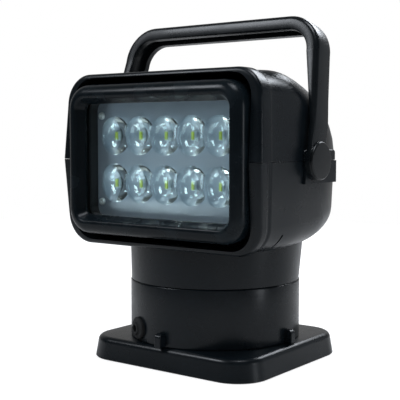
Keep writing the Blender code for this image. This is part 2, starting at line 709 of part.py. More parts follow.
# the stations close up towards the rear, where the dome turns fastest
DOME_STATIONS = [
    DOME_START + (HEAD_REAR - MM / 2 - DOME_START) * math.sin(math.pi / 2 * i / DOME_STEPS)
    for i in range(DOME_STEPS + 1)
]
REAR_SCREW_CIRCLE = NECK_RADIUS + NECK_LEAN + REAR_SCREW_MARGIN + SCREW_HEAD_RADIUS
SHELL_SCREWS = [(side * (HEAD_HALF_WIDTH - SIDE_SCREW_INSET), SIDE_SCREW_Y) for side in (1, -1)]
SHELL_SCREWS += [
    (side * REAR_SCREW_CIRCLE * math.cos(REAR_SCREW_ANGLE), REAR_SCREW_CIRCLE * math.sin(REAR_SCREW_ANGLE))
    for side in (1, -1)
]
BOARD_POSTS = [(BOARD_POST_X, BOARD_Y), (-BOARD_POST_X, BOARD_Y)]
SCREW_SEAT = AXIS_Z - POST_DEPTH
SCREW_TOP = AXIS_Z + SHELL_SCREW_REACH


def dome_share(y, power):
    """The share of its half height that the head keeps at y behind the start of the dome."""
    run = (y - DOME_START) / (HEAD_REAR - DOME_START)
    return math.sqrt(max(0.0, 1 - max(0.0, run) ** power))


def head_loop(y, inset=0.0, bow=0.0, room=False, steps=4):
    """One XZ section of the head, or of the room inside it. bow is the share of the chevron
    by which the front bows forward at the parting line."""
    wall = SHELL_WALL if room else 0.0
    rear = HEAD_REAR - wall
    widest = SIDE_INNER if room else HEAD_HALF_WIDTH - SIDE_DRAFT / 2
    if room and y < PIVOT_BAND - HEAD_FRONT:
        widest = BAY_HALF_WIDTH
    half_width = min(widest, math.sqrt(rear * rear - max(y, 0.0) ** 2)) - inset
    above = HEAD_HALF_HEIGHT * dome_share(y, UPPER_DOME_POWER) - wall - inset
    below = HEAD_HALF_HEIGHT * dome_share(y, LOWER_DOME_POWER) - wall - inset
    corner = HEAD_CORNER - wall - inset
    dome = smooth((y - DOME_START) / DOME_LENGTH)
    top = (above, corner + (half_width - corner) * dome, corner + (above - corner) * dome)
    low = (below, corner + LOW_CORNER_RUN * dome, corner + LOW_CORNER_RISE * dome)
    corners = ((1, 1, top), (-1, 1, top), (-1, -1, low), (1, -1, low))
    points = []
    for quarter, (sx, sz, (height, run, rise)) in enumerate(corners):
        run, rise = min(run, half_width - MM), min(rise, height - MM)
        for c, s in arc((0, 0), 1, 90 * quarter, 90 * quarter + 90, steps):
            points.append((sx * (half_width - run) + run * c, sz * (height - rise) + rise * s))
        if quarter in (1, 3):
            points.append((sx * half_width, 0.0))
    loop = []
    for x, z in points:
        # the side walls' draft makes them widest on the parting line
        share = 1 - min(1.0, abs(z) / HEAD_HALF_HEIGHT)
        draft = 0.0 if room else SIDE_DRAFT * (share - 0.5) * x / half_width
        loop.append((x + draft, y - CHEVRON * share * bow, AXIS_Z + z))
    return loop


def head_form(name, rim_width, groove):
    """The head's outer form: a rim band with a round front edge, a step or groove, the dome."""
    front = -HEAD_FRONT
    step_at = front + rim_width
    # the first section lies inside the bay's opening, which takes it away
    loops = [head_loop(front, HEAD_HALF_WIDTH - BAY_HALF_WIDTH + RIM_EDGE, bow=1)]
    for run, rise in arc((0, 0), RIM_EDGE, 270, 180, 3):
        loops.append(head_loop(front + RIM_EDGE + rise, RIM_EDGE + run, bow=1))
    loops.append(head_loop(step_at, 0, bow=0.9))
    loops.append(head_loop(step_at + RIM_STEP, RIM_STEP + groove, bow=0.85))
    if groove:
        loops.append(head_loop(step_at + RIM_STEP + GROOVE_LENGTH, RIM_STEP + groove, bow=0.6))
    loops.append(head_loop(step_at + RIM_STEP + RIM_BLEND, RIM_STEP * 0.6, bow=0.3))
    loops += [head_loop(y) for y in DOME_STATIONS]
    return loft(name, loops)


def head_room():
    """The room inside the head, without the posts for the screws and the control board."""
    band_end = PIVOT_BAND - HEAD_FRONT
    behind = [y for y in DOME_STATIONS if band_end + 2 * MM < y < HEAD_REAR - SHELL_WALL - MM / 2]
    stations = [BEZEL_FRONT - MM, band_end - MM, band_end + MM] + behind
    room = loft("head_room", [head_loop(y, room=True) for y in stations])
    low, high = HEAD_BOTTOM - MM, AXIS_Z + HEAD_HALF_HEIGHT + MM
    for i, at in enumerate(SHELL_SCREWS):
        cut(room, cylinder(f"screw_post_{i}", POST_RADIUS, low, high, at=at, sides=10))
    for i, at in enumerate(BOARD_POSTS):
        top = HEAD_BOTTOM + BOARD_POST_HEIGHT
        cut(room, cylinder(f"board_post_{i}", BOARD_POST_RADIUS, low, top, at=at, sides=8))
    return room


def half_space(name, low, high):
    reach = 2 * HEAD_REAR
    return box(name, (-reach, -reach, low), (reach, reach, high))


def handle_pad(name, side, gap=0.0):
    """The flat seat of a handle hub, a block of the lower shell that runs past the parting."""
    middle_y = HANDLE_PIVOT_Y - PAD_LEAD + PAD_LENGTH / 2
    middle_z = AXIS_Z + (PAD_ABOVE - PAD_BELOW) / 2
    outline = rounded_rectangle(PAD_LENGTH / 2 + gap, (PAD_ABOVE + PAD_BELOW) / 2 + gap, PAD_CORNER, 3)
    outline = [(middle_y + y, middle_z + z) for y, z in outline]
    inner, outer = side * (PAD_ROOT - gap), side * (PAD_FACE + 4 * gap)
    return flat(name, outline, min(inner, outer), max(inner, outer), axis="X")


def pivot_hole(name, side):
    """The hole that both shells share round each tilt bush."""
    bush = PIVOT_RADIUS + BUSH_WALL + 2 * SEAT
    end = BAY_HALF_WIDTH + PIVOT_LENGTH + 2 * SEAT
    inner, outer = side * (BAY_HALF_WIDTH - 2 * MM), side * end
    return cylinder(name, bush, inner, outer, axis="X", at=(TILT_Y, AXIS_Z), sides=16)


def make_neck():
    """The round neck below the head, which leans back a little as it rises."""
    top = HEAD_BOTTOM + NECK_LAP
    lean = NECK_LEAN / 2 * (top - NECK_BOTTOM) / NECK_HEIGHT
    ring = arc((0, 0), 1, 0, 360, 40)[:-1]
    return loft("neck", [
        [((NECK_RADIUS + grow) * x, (NECK_RADIUS + grow) * y + grow, z) for x, y in ring]
        for grow, z in ((0.0, NECK_BOTTOM), (lean, top))
    ])


def make_lower_shell(room):
    lower = head_form("lower_shell", LOWER_RIM_WIDTH, LOWER_GROOVE)
    cut(lower, half_space("above_parting", AXIS_Z - SEAT / 2, 2 * AXIS_Z))
    join(lower, make_neck())
    cut(lower, room)
    cut(lower, cylinder("neck_bore", NECK_BORE, TURNTABLE_TOP, HEAD_BOTTOM + NECK_LAP + MM, sides=40))
    cut(lower, cylinder("spindle_hole", SPINDLE_RADIUS + SEAT, 0, TURNTABLE_TOP + MM))
    shaft_hole = MOTOR_SHAFT + SHAFT_PASSAGE
    cut(lower, cylinder("pan_shaft_hole", shaft_hole, 0, TURNTABLE_TOP + MM, at=(0, PAN_PINION_Y), sides=8))
    for label, side in (("right", 1), ("left", -1)):
        join(lower, handle_pad(f"handle_pad_{label}", side))
        cut(lower, pivot_hole(f"lower_pivot_hole_{label}", side))
        inner, outer = side * (PAD_ROOT - MM), side * (PAD_FACE + MM)
        bolt_hole = BOLT_RADIUS + 0.1 * MM
        at = (HANDLE_PIVOT_Y, AXIS_Z)
        cut(lower, cylinder(f"bolt_hole_{label}", bolt_hole, inner, outer, axis="X", at=at, sides=16))
        # a short drain slit slants across each bottom corner just behind the rim
        half = Vector((DRAIN_DEPTH, DRAIN_LENGTH / 2, DRAIN_WIDTH / 2))
        slit = box(f"drain_slit_{label}", -half, half)
        place = (side * HEAD_HALF_WIDTH, DRAIN_SETBACK - HEAD_FRONT, HEAD_BOTTOM + DRAIN_HEIGHT)
        slit.matrix_basis = Matrix.Translation(place) @ Matrix.Rotation(DRAIN_SLOPE, 4, "X")
        cut(lower, slit)
    for i, at in enumerate(SHELL_SCREWS):
        passage = SCREW_HEAD_RADIUS + 0.4 * MM
        cut(lower, cylinder(f"head_hole_{i}", passage, 0, SCREW_SEAT, at=at, sides=10))
        cut(lower, cylinder(f"screw_hole_{i}", SCREW_RADIUS + SCREW_CLEARANCE, 0, AXIS_Z, at=at, sides=8))
    return lower


def make_upper_shell(room):
    upper = head_form("upper_shell", UPPER_RIM_WIDTH, 0.0)
    cut(upper, half_space("below_parting", 0, AXIS_Z + SEAT / 2))
    cut(upper, room)
    for label, side in (("right", 1), ("left", -1)):
        cut(upper, handle_pad(f"pad_notch_{label}", side, gap=SEAT))
        cut(upper, pivot_hole(f"upper_pivot_hole_{label}", side))
    for i, at in enumerate(SHELL_SCREWS):
        pilot = SCREW_RADIUS + 0.1 * MM
        cut(upper, cylinder(f"pilot_{i}", pilot, AXIS_Z - MM, SCREW_TOP + MM, at=at, sides=8))
    return upper


def make_shell_screws():
    screws = []
    seat = SCREW_SEAT - SEAT
    for i, at in enumerate(SHELL_SCREWS):
        profile = [
            (0, seat - SCREW_HEAD_HEIGHT), (SCREW_HEAD_RADIUS, seat - SCREW_HEAD_HEIGHT),
            (SCREW_HEAD_RADIUS, seat), (SCREW_RADIUS, seat), (SCREW_RADIUS, SCREW_TOP), (0, SCREW_TOP),
        ]
        screws.append(turned(f"shell_screw_{i + 1}", profile, STEEL, 8, Matrix.Translation((*at, 0))))
    return screws


# Inside the head: control board, tilt gearmotor on its bracket, tilt pinion, pivot bushes


def make_control_board():
    foot = HEAD_BOTTOM + BOARD_POST_HEIGHT + SEAT
    half = BOARD_WIDTH / 2
    front, back = BOARD_Y - BOARD_THICKNESS / 2, BOARD_Y + BOARD_THICKNESS / 2
    board = box("control_board", (-half, front, foot), (half, back, foot + BOARD_HEIGHT), PCB_GREEN)
    # a row of relays for the two motors and the lamp, under the cable sockets
    bottom = foot + BOARD_MARGIN
    for i in range(RELAYS):
        left = (i - (RELAYS - 1) / 2) * RELAY_PITCH - RELAY_WIDTH / 2
        end = (left + RELAY_WIDTH, BOARD_Y, bottom + RELAY_HEIGHT)
        join(board, box(f"relay_{i}", (left, front - RELAY_DEPTH, bottom), end))
    top = foot + BOARD_HEIGHT - BOARD_MARGIN
    half = SOCKET_WIDTH / 2
    low = (-half, front - SOCKET_DEPTH, top - SOCKET_HEIGHT)
    join(board, box("cable_sockets", low, (half, BOARD_Y, top)))
    return board


BRACKET_X = SPINDLE_FLANGE_RADIUS + MM
TILT_MOTOR_X = BRACKET_X + BRACKET_THICKNESS + SEAT


def make_tilt_bracket():
    front, back = TILT_PINION_Y - MOTOR_RADIUS, TILT_PINION_Y + MOTOR_RADIUS
    floor, top = TURNTABLE_TOP + SEAT, AXIS_Z + MOTOR_RADIUS + BRACKET_MARGIN
    near, far = BRACKET_X, BRACKET_X + BRACKET_THICKNESS
    bracket = box("tilt_bracket", (near, front, floor), (far, back, top), STEEL)
    foot_end = (near + BRACKET_FOOT, back, floor + BRACKET_THICKNESS)
    join(bracket, box("bracket_foot", (near, front, floor), foot_end))
    hole = MOTOR_SHAFT + SHAFT_PASSAGE + BRACKET_MARGIN
    at = (TILT_PINION_Y, AXIS_Z)
    cut(bracket, cylinder("bracket_hole", hole, near - MM, far + MM, axis="X", at=at, sides=12))
    return bracket


def tilt_drive_place(x=0.0):
    return Matrix.Translation((x, TILT_PINION_Y, AXIS_Z)) @ ALONG["X"]


def make_tilt_pinion():
    half = SECTOR_WIDTH / 2
    # placed by tilt_drive_place, its -Y side is what meets the sector, with a space there
    # for the sector's middle tooth
    turn = -math.pi / 2 + math.pi / PINION_TEETH
    return drive_pinion("tilt_pinion", -half, half, TILT_MOTOR_X, tilt_drive_place(), turn)


def make_pivot_bushes():
    bore, outer = PIVOT_RADIUS + SEAT, PIVOT_RADIUS + BUSH_WALL + SEAT
    start, end = BAY_HALF_WIDTH + SEAT, BAY_HALF_WIDTH + PIVOT_LENGTH
    profile = [(outer, start), (outer, end), (bore, end), (bore, start)]
    place = Matrix.Translation((0, TILT_Y, AXIS_Z)) @ ALONG["X"]
    mirrored = place @ Matrix.Rotation(math.pi, 4, "X")
    return [
        turned("pivot_bush_right", profile, NYLON, sides=16, place=place),
        turned("pivot_bush_left", profile, NYLON, sides=16, place=mirrored),
    ]


# Lamp: bezel, glass, gasket, finned housing with its LED board and optics, pivots, sector gear


def front_loop(half_width, half_height, corner, y, steps=5):
    """A rounded rectangle standing in an XZ plane about the tilt axis's height."""
    return [(x, y, AXIS_Z + z) for x, z in rounded_rectangle(half_width, half_height, corner, steps)]


def front_sheet(name, half_width, half_height, corner, start, end, material, steps=3):
    place = Matrix.Translation((0, 0, AXIS_Z))
    outline = rounded_rectangle(half_width, half_height, corner, steps)
    return flat(name, outline, start, end, axis="Y", material=material, place=place)


def make_bezel():
    """A frame about the window: bull-nosed outside, sloping in to a lip before the glass."""
    loops = [front_loop(LAMP_HALF_WIDTH, LAMP_HALF_HEIGHT, LAMP_CORNER, BEZEL_REAR)]
    for run, rise in arc((0, 0), BEZEL_ROUND, 180, 270, 4):
        inset = BEZEL_ROUND + run
        size = (LAMP_HALF_WIDTH - inset, LAMP_HALF_HEIGHT - inset, LAMP_CORNER - inset)
        loops.append(front_loop(*size, BEZEL_FRONT + BEZEL_ROUND + rise))
    # each section's growth past the window and its depth behind the front
    pocket, lip = GLASS_LAP + SEAT, WINDOW_SLOPE + WINDOW_LIP
    slope = [(BROW + BROW_EDGE, BROW_DROP / 4), (BROW, BROW_DROP), (0.0, WINDOW_SLOPE), (0.0, lip)]
    for grow, depth in slope + [(pocket, lip), (pocket, BEZEL_DEPTH)]:
        size = (WINDOW_HALF_WIDTH + grow, WINDOW_HALF_HEIGHT + grow, WINDOW_CORNER + grow)
        loops.append(front_loop(*size, BEZEL_FRONT + depth))
    return loft("bezel", loops, closed=True)


def make_glass():
    back = GLASS_FRONT + GLASS_THICKNESS
    return front_sheet("glass", GLASS_HALF_WIDTH, GLASS_HALF_HEIGHT, GLASS_CORNER, GLASS_FRONT, back, CLEAR)


def make_gasket():
    size = (GLASS_HALF_WIDTH, GLASS_HALF_HEIGHT, GLASS_CORNER)
    back = GASKET_FRONT + GASKET_THICKNESS
    gasket = front_sheet("glass_gasket", *size, GASKET_FRONT, back, RUBBER)
    inner = [length - GASKET_WIDTH for length in size]
    cut(gasket, front_sheet("gasket_window", *inner, GASKET_FRONT - MM, back + MM, RUBBER))
    return gasket


BOARD_HALF_WIDTH = GLASS_HALF_WIDTH - MM
BOARD_HALF_HEIGHT = GLASS_HALF_HEIGHT - MM
BOARD_SCREW_X = WINDOW_HALF_WIDTH - BOARD_SCREW_INSET_X
BOARD_SCREW_Z = WINDOW_HALF_HEIGHT - BOARD_SCREW_INSET_Z
BOARD_SCREWS = [(sx * BOARD_SCREW_X, AXIS_Z + sz * BOARD_SCREW_Z) for sx in (-1, 1) for sz in (1, -1)]
OPTIC_XS = [(i - (OPTIC_COLUMNS - 1) / 2) * OPTIC_PITCH_X for i in range(OPTIC_COLUMNS)]
OPTIC_ZS = [AXIS_Z + ((OPTIC_ROWS - 1) / 2 - i) * OPTIC_PITCH_Z for i in range(OPTIC_ROWS)]
OPTICS = [(x, z) for z in OPTIC_ZS for x in OPTIC_XS]


def make_lamp_housing():
    """A cast tray for the LED board; the fins behind it fill a drum about the tilt axis."""
    half_width, half_height = HOUSING_HALF_WIDTH, HOUSING_HALF_HEIGHT
    rim = math.degrees(math.acos((TRAY_BACK - TILT_Y) / FIN_RADIUS))
    drum = arc((TILT_Y, 0), FIN_RADIUS, -rim, rim, 8)
    tray_side = [(TRAY_FRONT, half_height), (TRAY_FRONT, -half_height), (TRAY_BACK, -half_height)]
    side = [(y, AXIS_Z + z) for y, z in (*tray_side, *drum, (TRAY_BACK, half_height))]
    housing = flat("lamp_housing", side, -half_width, half_width, axis="X", material=CAST_ALUMINIUM)
    far = TILT_Y + 2 * FIN_RADIUS
    block = (half_width, half_height, LAMP_CORNER - HOUSING_INSET)
    keep_inside(housing, front_sheet("housing_sides", *block, TRAY_FRONT - MM, far, CAST_ALUMINIUM))
    tray = (GLASS_HALF_WIDTH, GLASS_HALF_HEIGHT, GLASS_CORNER)
    cut(housing, front_sheet("tray_room", *tray, TRAY_FRONT - MM, TRAY_BOTTOM, CAST_ALUMINIUM))
    low, high = AXIS_Z - 2 * FIN_RADIUS, AXIS_Z + 2 * FIN_RADIUS
    pairs = int((half_width - 3 * MM - FIN_GAP / 2) / FIN_PITCH + 0.5)
    for i in range(-pairs, pairs):
        middle = (i + 0.5) * FIN_PITCH
        left, right = middle - FIN_GAP / 2, middle + FIN_GAP / 2
        cut(housing, box(f"fin_gap_{i + pairs}", (left, TRAY_BACK, low), (right, far, high)))
    slot = SECTOR_WIDTH / 2 + SEAT
    cut(housing, box("sector_slot", (-slot, TRAY_BACK, low), (slot, far, high)))
    at = (TILT_Y, AXIS_Z)
    hole = PIVOT_RADIUS + 0.1 * MM
    for label, sign in (("right", 1), ("left", -1)):
        inner, outer = sign * (half_width - PIVOT_GRIP - SEAT), sign * (half_width + MM)
        cut(housing, cylinder(f"pin_hole_{label}", hole, inner, outer, axis="X", at=at, sides=16))
    for i, at in enumerate(BOARD_SCREWS):
        depth = TRAY_BOTTOM + 4 * MM
        cut(housing, cylinder(f"tapped_hole_{i}", SCREW_RADIUS, BOARD_FRONT, depth, axis="Y", at=at, sides=8))
    return housing


def make_pivot_pins():
    pins = []
    for label, sign in (("right", 1), ("left", -1)):
        inner = sign * (HOUSING_HALF_WIDTH - PIVOT_GRIP)
        outer = sign * (BAY_HALF_WIDTH + PIVOT_LENGTH - SEAT)
        pin = cylinder(f"pivot_pin_{label}", PIVOT_RADIUS, inner, outer, "X", (TILT_Y, AXIS_Z), STEEL, 16)
        pins.append(round_edges(pin, 0.5 * MM, 1))
    return pins


def make_led_board():
    back = BOARD_FRONT + BOARD_THICKNESS
    size = (BOARD_HALF_WIDTH, BOARD_HALF_HEIGHT, GLASS_CORNER - MM)
    board = front_sheet("led_board", *size, BOARD_FRONT, back, BOARD_GREY)
    half = EMITTER_SIZE / 2
    for i, (x, z) in enumerate(OPTICS):
        low = (x - half, BOARD_FRONT - EMITTER_HEIGHT, z - half)
        join(board, box(f"emitter_{i}", low, (x + half, BOARD_FRONT + BOARD_THICKNESS / 2, z + half)))
    for i, at in enumerate(BOARD_SCREWS):
        hole = SCREW_RADIUS + SCREW_CLEARANCE
        cut(board, cylinder(f"board_hole_{i}", hole, BOARD_FRONT - MM, back + MM, axis="Y", at=at, sides=8))
    return board


def make_board_screws():
    screws = []
    seat, tip = SEAT, BOARD_FRONT - TRAY_BOTTOM - 3 * MM
    shank = SCREW_RADIUS - 0.2 * MM
    head = SCREW_HEAD_RADIUS * 0.8
    top = seat + SCREW_HEAD_HEIGHT * 0.75
    profile = [(0, tip), (shank, tip), (shank, seat), (head, seat), (head, top), (0, top)]
    for i, (x, z) in enumerate(BOARD_SCREWS):
        place = Matrix.Translation((x, BOARD_FRONT, z)) @ Matrix.Rotation(math.radians(90), 4, "X")
        screws.append(turned(f"board_screw_{i + 1}", profile, STEEL, 8, place))
    return screws


def make_optics():
    """Moulded collimators: a flaring cone over each emitter, a domed face, sides cut flat
    where neighbours meet. The well in the foot clears the emitter."""
    rim = OPTIC_DEPTH - OPTIC_BULGE
    dome_radius = (OPTIC_RADIUS**2 + OPTIC_BULGE**2) / (2 * OPTIC_BULGE)
    spread = math.degrees(math.asin(OPTIC_RADIUS / dome_radius))
    dome = arc((0, OPTIC_DEPTH - dome_radius), dome_radius, 90 - spread, 90, 3)
    dome[-1] = (0, OPTIC_DEPTH)
    well, ceiling = EMITTER_SIZE * 0.75, SEAT + EMITTER_HEIGHT + OPTIC_WELL / 2
    profile = [
        (well, SEAT), (OPTIC_FOOT, SEAT), (OPTIC_RADIUS * 0.7, rim * 0.5), (OPTIC_RADIUS, rim - MM),
        *dome, (0, ceiling), (well, ceiling - OPTIC_WELL / 4),
    ]
    half = OPTIC_PITCH_X / 2 - SEAT / 2
    optics = []
    for i, (x, z) in enumerate(OPTICS):
        place = Matrix.Translation((x, BOARD_FRONT, z)) @ Matrix.Rotation(math.radians(90), 4, "X")
        optic = turned(f"optic_{i + 1:02d}", profile, CLEAR, 10, place)
        reach = 2 * OPTIC_RADIUS
        low, high = (x - half, BOARD_FRONT - reach, z - reach), (x + half, BOARD_FRONT + reach, z + reach)
        keep_inside(optic, box(f"optic_flats_{i}", low, high))
        optics.append(optic)
    return optics


def make_sector_gear():
    """A toothed arc about the tilt axis on two legs that stand on the back of the tray."""
    step = math.tau / SECTOR_TEETH
    # an odd number of teeth puts one on the line to the pinion
    count = 2 * round(SECTOR_SPAN / step / 2) + 1
    half = count * step / 2
    first = -(count - 1) / 2 * step
    teeth = gear_outline(SECTOR_TEETH, ADDENDUM, DEDENDUM, TOOTH_SHARE, first, count=count)
    inner = SECTOR_RADIUS - DEDENDUM - SECTOR_WEB
    under = arc((0, 0), inner, math.degrees(half), -math.degrees(half), 16)
    outline = [(TILT_Y + y, AXIS_Z + z) for y, z in teeth + under]
    thick = SECTOR_WIDTH / 2
    gear = flat("sector_gear", outline, -thick, thick, axis="X", material=NYLON)
    # the legs are a little thinner than the arc, so that their sides don't share its planes
    leg, half_width = thick - 0.1 * MM, SECTOR_LEG_WIDTH / 2
    end = TILT_Y + math.sqrt(inner**2 - SECTOR_LEG**2) + SECTOR_WEB / 2
    for i, sign in enumerate((1, -1)):
        z = AXIS_Z + sign * SECTOR_LEG
        low, high = (-leg, TRAY_BACK + SEAT, z - half_width), (leg, end, z + half_width)
        join(gear, box(f"sector_leg_{i}", low, high))
    return gear


# Handle: a bail that leans back, with round hubs, their bolts and caps


def handle_half_path():
    """(x, height, thickness, lead) along the bail's centre line, from a hub to its middle.
    Above its foot a leg leans in and grows stouter, clear of the shell's bulging side."""
    inner_face = HUB_INNER + LEG_RECESS
    shoulder = HANDLE_HEIGHT - BAR_THICKNESS / 2 - HANDLE_CORNER
    path = [(inner_face + LEG_FOOT_THICKNESS / 2, 0.0, LEG_FOOT_THICKNESS, LEG_FOOT_LEAD)]
    for share in (0.0, 0.25, 0.5, 0.75, 1.0):
        thickness = LEG_FOOT_THICKNESS + (LEG_THICKNESS - LEG_FOOT_THICKNESS) * share
        height = LEG_FOOT_HEIGHT + (shoulder - LEG_FOOT_HEIGHT) * share
        face = inner_face - HANDLE_INSET * share
        path.append((face + thickness / 2, height, thickness, LEG_FOOT_LEAD * (1 - share)))
    centre = (path[-1][0] - HANDLE_CORNER, shoulder)
    steps = 5
    for i, (x, z) in enumerate(arc(centre, HANDLE_CORNER, 0, 90, steps)[1:]):
        thickness = LEG_THICKNESS + (BAR_THICKNESS - LEG_THICKNESS) * (i + 1) / steps
        path.append((x, z, thickness, 0.0))
    path.append((0.0, HANDLE_HEIGHT - BAR_THICKNESS / 2, BAR_THICKNESS, 0.0))
    return path


def make_handle():
    path = handle_half_path()
    place = Matrix.Translation((0, HANDLE_PIVOT_Y, AXIS_Z)) @ Matrix.Rotation(-HANDLE_LEAN, 4, "X")
    loops = []
    for i, (x, z, thickness, lead) in enumerate(path):
        before, after = path[max(i - 1, 0)], path[min(i + 1, len(path) - 1)]
        along = Vector((after[0] - before[0], 0, after[1] - before[1])).normalized()
        if i == len(path) - 1:
            along = Vector((-1, 0, 0))
        across = Vector((along.z, 0, -along.x))
        corner = min(HANDLE_EDGE, 0.4 * thickness)
        section = rounded_rectangle(thickness / 2, HANDLE_DEPTH / 2, corner, 2)
        loops.append([place @ (Vector((x, b - lead, z)) + across * a) for a, b in section])
    handle = loft("handle_bar", loops, open_end=True)
    mirror = handle.modifiers.new("left_half", "MIRROR")
    mirror.merge_threshold = 1e-5
    at = (HANDLE_PIVOT_Y, AXIS_Z)
    seat = HUB_INNER + HUB_RECESS
    for label, side in (("right", 1), ("left", -1)):
        inner, outer = side * HUB_INNER, side * HUB_OUTER
        join(handle, cylinder(f"hub_{label}", HUB_RADIUS, inner, outer, "X", at, sides=24))
        bore = BOLT_RADIUS + SEAT
        inner, outer = side * (HUB_INNER - MM), side * (HUB_OUTER + MM)
        cut(handle, cylinder(f"hub_bore_{label}", bore, inner, outer, "X", at, sides=16))
        recess = BOLT_HEAD_RADIUS + 0.4 * MM
        cut(handle, cylinder(f"hub_recess_{label}", recess, side * seat, outer, "X", at, sides=16))
    return handle


def make_handle_bolts():
    bolts = []
    seat = HUB_INNER + HUB_RECESS + SEAT
    profile = [
        (0, PAD_ROOT + SEAT), (BOLT_RADIUS, PAD_ROOT + SEAT), (BOLT_RADIUS, seat), (BOLT_HEAD_RADIUS, seat),
        (BOLT_HEAD_RADIUS, HUB_OUTER - SEAT), (0, HUB_OUTER - SEAT),
    ]
    place = Matrix.Translation((0, HANDLE_PIVOT_Y, AXIS_Z)) @ ALONG["X"]
    for label, turn in (("right", 0.0), ("left", math.pi)):
        turned_place = place @ Matrix.Rotation(turn, 4, "X")
        bolts.append(turned(f"handle_bolt_{label}", profile, STEEL, 16, turned_place))
    return bolts


def make_hub_caps():
    caps = []
    inner, outer = HUB_OUTER + SEAT, HUB_OUTER + SEAT + CAP_THICKNESS
    at = (HANDLE_PIVOT_Y, AXIS_Z)
    for label, side in (("right", 1), ("left", -1)):
        cap = cylinder(f"hub_cap_{label}", HUB_RADIUS, side * inner, side * outer, "X", at, sides=24)
        caps.append(round_edges(cap, CAP_EDGE, 1))
    return caps


# Assembly: each moving body hangs on an empty on its joint's axis

inside_head = head_room()
fixed = [
    make_base_plate(), make_bottom_cover(), *make_magnets(), make_column(), *make_column_screws(),
    make_cable_gland(), make_ring_gear(), make_thrust_washer(),
]
panning = [
    make_lower_shell(inside_head), make_upper_shell(inside_head), *make_shell_screws(),
    make_pan_spindle(), make_spindle_nut(),
    geared_motor("pan_motor", Matrix.Translation((0, PAN_PINION_Y, TURNTABLE_TOP + SEAT))),
    geared_motor("tilt_motor", tilt_drive_place(TILT_MOTOR_X)),
    make_tilt_bracket(), make_control_board(), *make_pivot_bushes(), *make_handle_bolts(),
]
tilting = [
    make_bezel(), make_glass(), make_gasket(), make_lamp_housing(), make_led_board(),
    *make_board_screws(), *make_optics(), *make_pivot_pins(), make_sector_gear(),
]
base_frame = carried("base", (0, 0, 0), fixed)
pan_axis = carried("pan_axis", (0, 0, COLUMN_TOP), panning, base_frame)
carried("tilt_axis", (0, TILT_Y, AXIS_Z), tilting, pan_axis)
carried("handle_axis", (0, HANDLE_PIVOT_Y, AXIS_Z), [make_handle(), *make_hub_caps()], pan_axis)
carried("pan_pinion_axis", (0, PAN_PINION_Y, DECK_TOP), [make_pan_pinion()], pan_axis)
carried("tilt_pinion_axis", (0, TILT_PINION_Y, AXIS_Z), [make_tilt_pinion()], pan_axis)
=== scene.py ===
# A remote-controlled marine searchlight: ten LED optics in a lamp that tilts inside a
# two-part head, which pans on a round column over a square base, under a fold-back handle.
import math

import bmesh
import bpy
from mathutils import Matrix, Vector


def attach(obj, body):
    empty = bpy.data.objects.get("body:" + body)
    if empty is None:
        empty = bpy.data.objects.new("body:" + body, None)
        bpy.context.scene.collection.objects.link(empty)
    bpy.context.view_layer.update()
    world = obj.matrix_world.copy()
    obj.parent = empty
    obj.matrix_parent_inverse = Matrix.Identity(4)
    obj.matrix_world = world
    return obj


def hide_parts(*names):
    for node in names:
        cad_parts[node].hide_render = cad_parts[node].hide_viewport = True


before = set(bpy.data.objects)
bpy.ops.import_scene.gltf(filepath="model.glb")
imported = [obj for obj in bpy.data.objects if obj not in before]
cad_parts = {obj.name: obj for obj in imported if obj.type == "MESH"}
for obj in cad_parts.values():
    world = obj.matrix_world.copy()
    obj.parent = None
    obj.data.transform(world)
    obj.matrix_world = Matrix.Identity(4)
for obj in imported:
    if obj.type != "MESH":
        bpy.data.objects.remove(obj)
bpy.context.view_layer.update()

MM = 0.001

# The view: a long lens from the right of the lamp's front and a little above it,
# level with the handle's lower half.
camera_data = bpy.data.cameras.new("view")
camera_data.lens = 80.91
camera_data.sensor_width = 36
view = bpy.data.objects.new("view", camera_data)
view.location = (0.4063, -0.5607, 0.1690)
view.rotation_euler = (math.radians(90 - 4.1), 0, math.radians(36.9))
bpy.context.scene.collection.objects.link(view)
bpy.context.scene.camera = view
bpy.context.scene.view_settings.view_transform = "Standard"


def linear(code):
    """The linear colour of an sRGB hex code."""
    parts = [int(code[i:i + 2], 16) / 255 for i in (1, 3, 5)]
    return (*[c / 12.92 if c <= 0.04045 else ((c + 0.055) / 1.055) ** 2.4 for c in parts], 1)


def plug(made, inputs):
    """Fills a node's inputs; each is a value, or a socket to link."""
    for name, value in inputs.items():
        if isinstance(value, bpy.types.NodeSocket):
            made.id_data.links.new(value, made.inputs[name])
        else:
            made.inputs[name].default_value = value


def node(tree, kind, inputs=None, **settings):
    """Adds one shader node with its own settings and its inputs."""
    made = tree.nodes.new(f"ShaderNode{kind}")
    for name, value in settings.items():
        setattr(made, name, value)
    plug(made, inputs or {})
    return made


def background_share(tree):
    """1 for the rays that should find the pale background, 0 for those that carry light."""
    path = node(tree, "LightPath").outputs
    seen = node(tree, "Math", {0: path["Is Camera Ray"], 1: path["Is Glossy Ray"]}, operation="MAXIMUM")
    both = {0: seen.outputs[0], 1: path["Is Transmission Ray"]}
    return node(tree, "Math", both, operation="MAXIMUM").outputs[0], path["Is Camera Ray"]


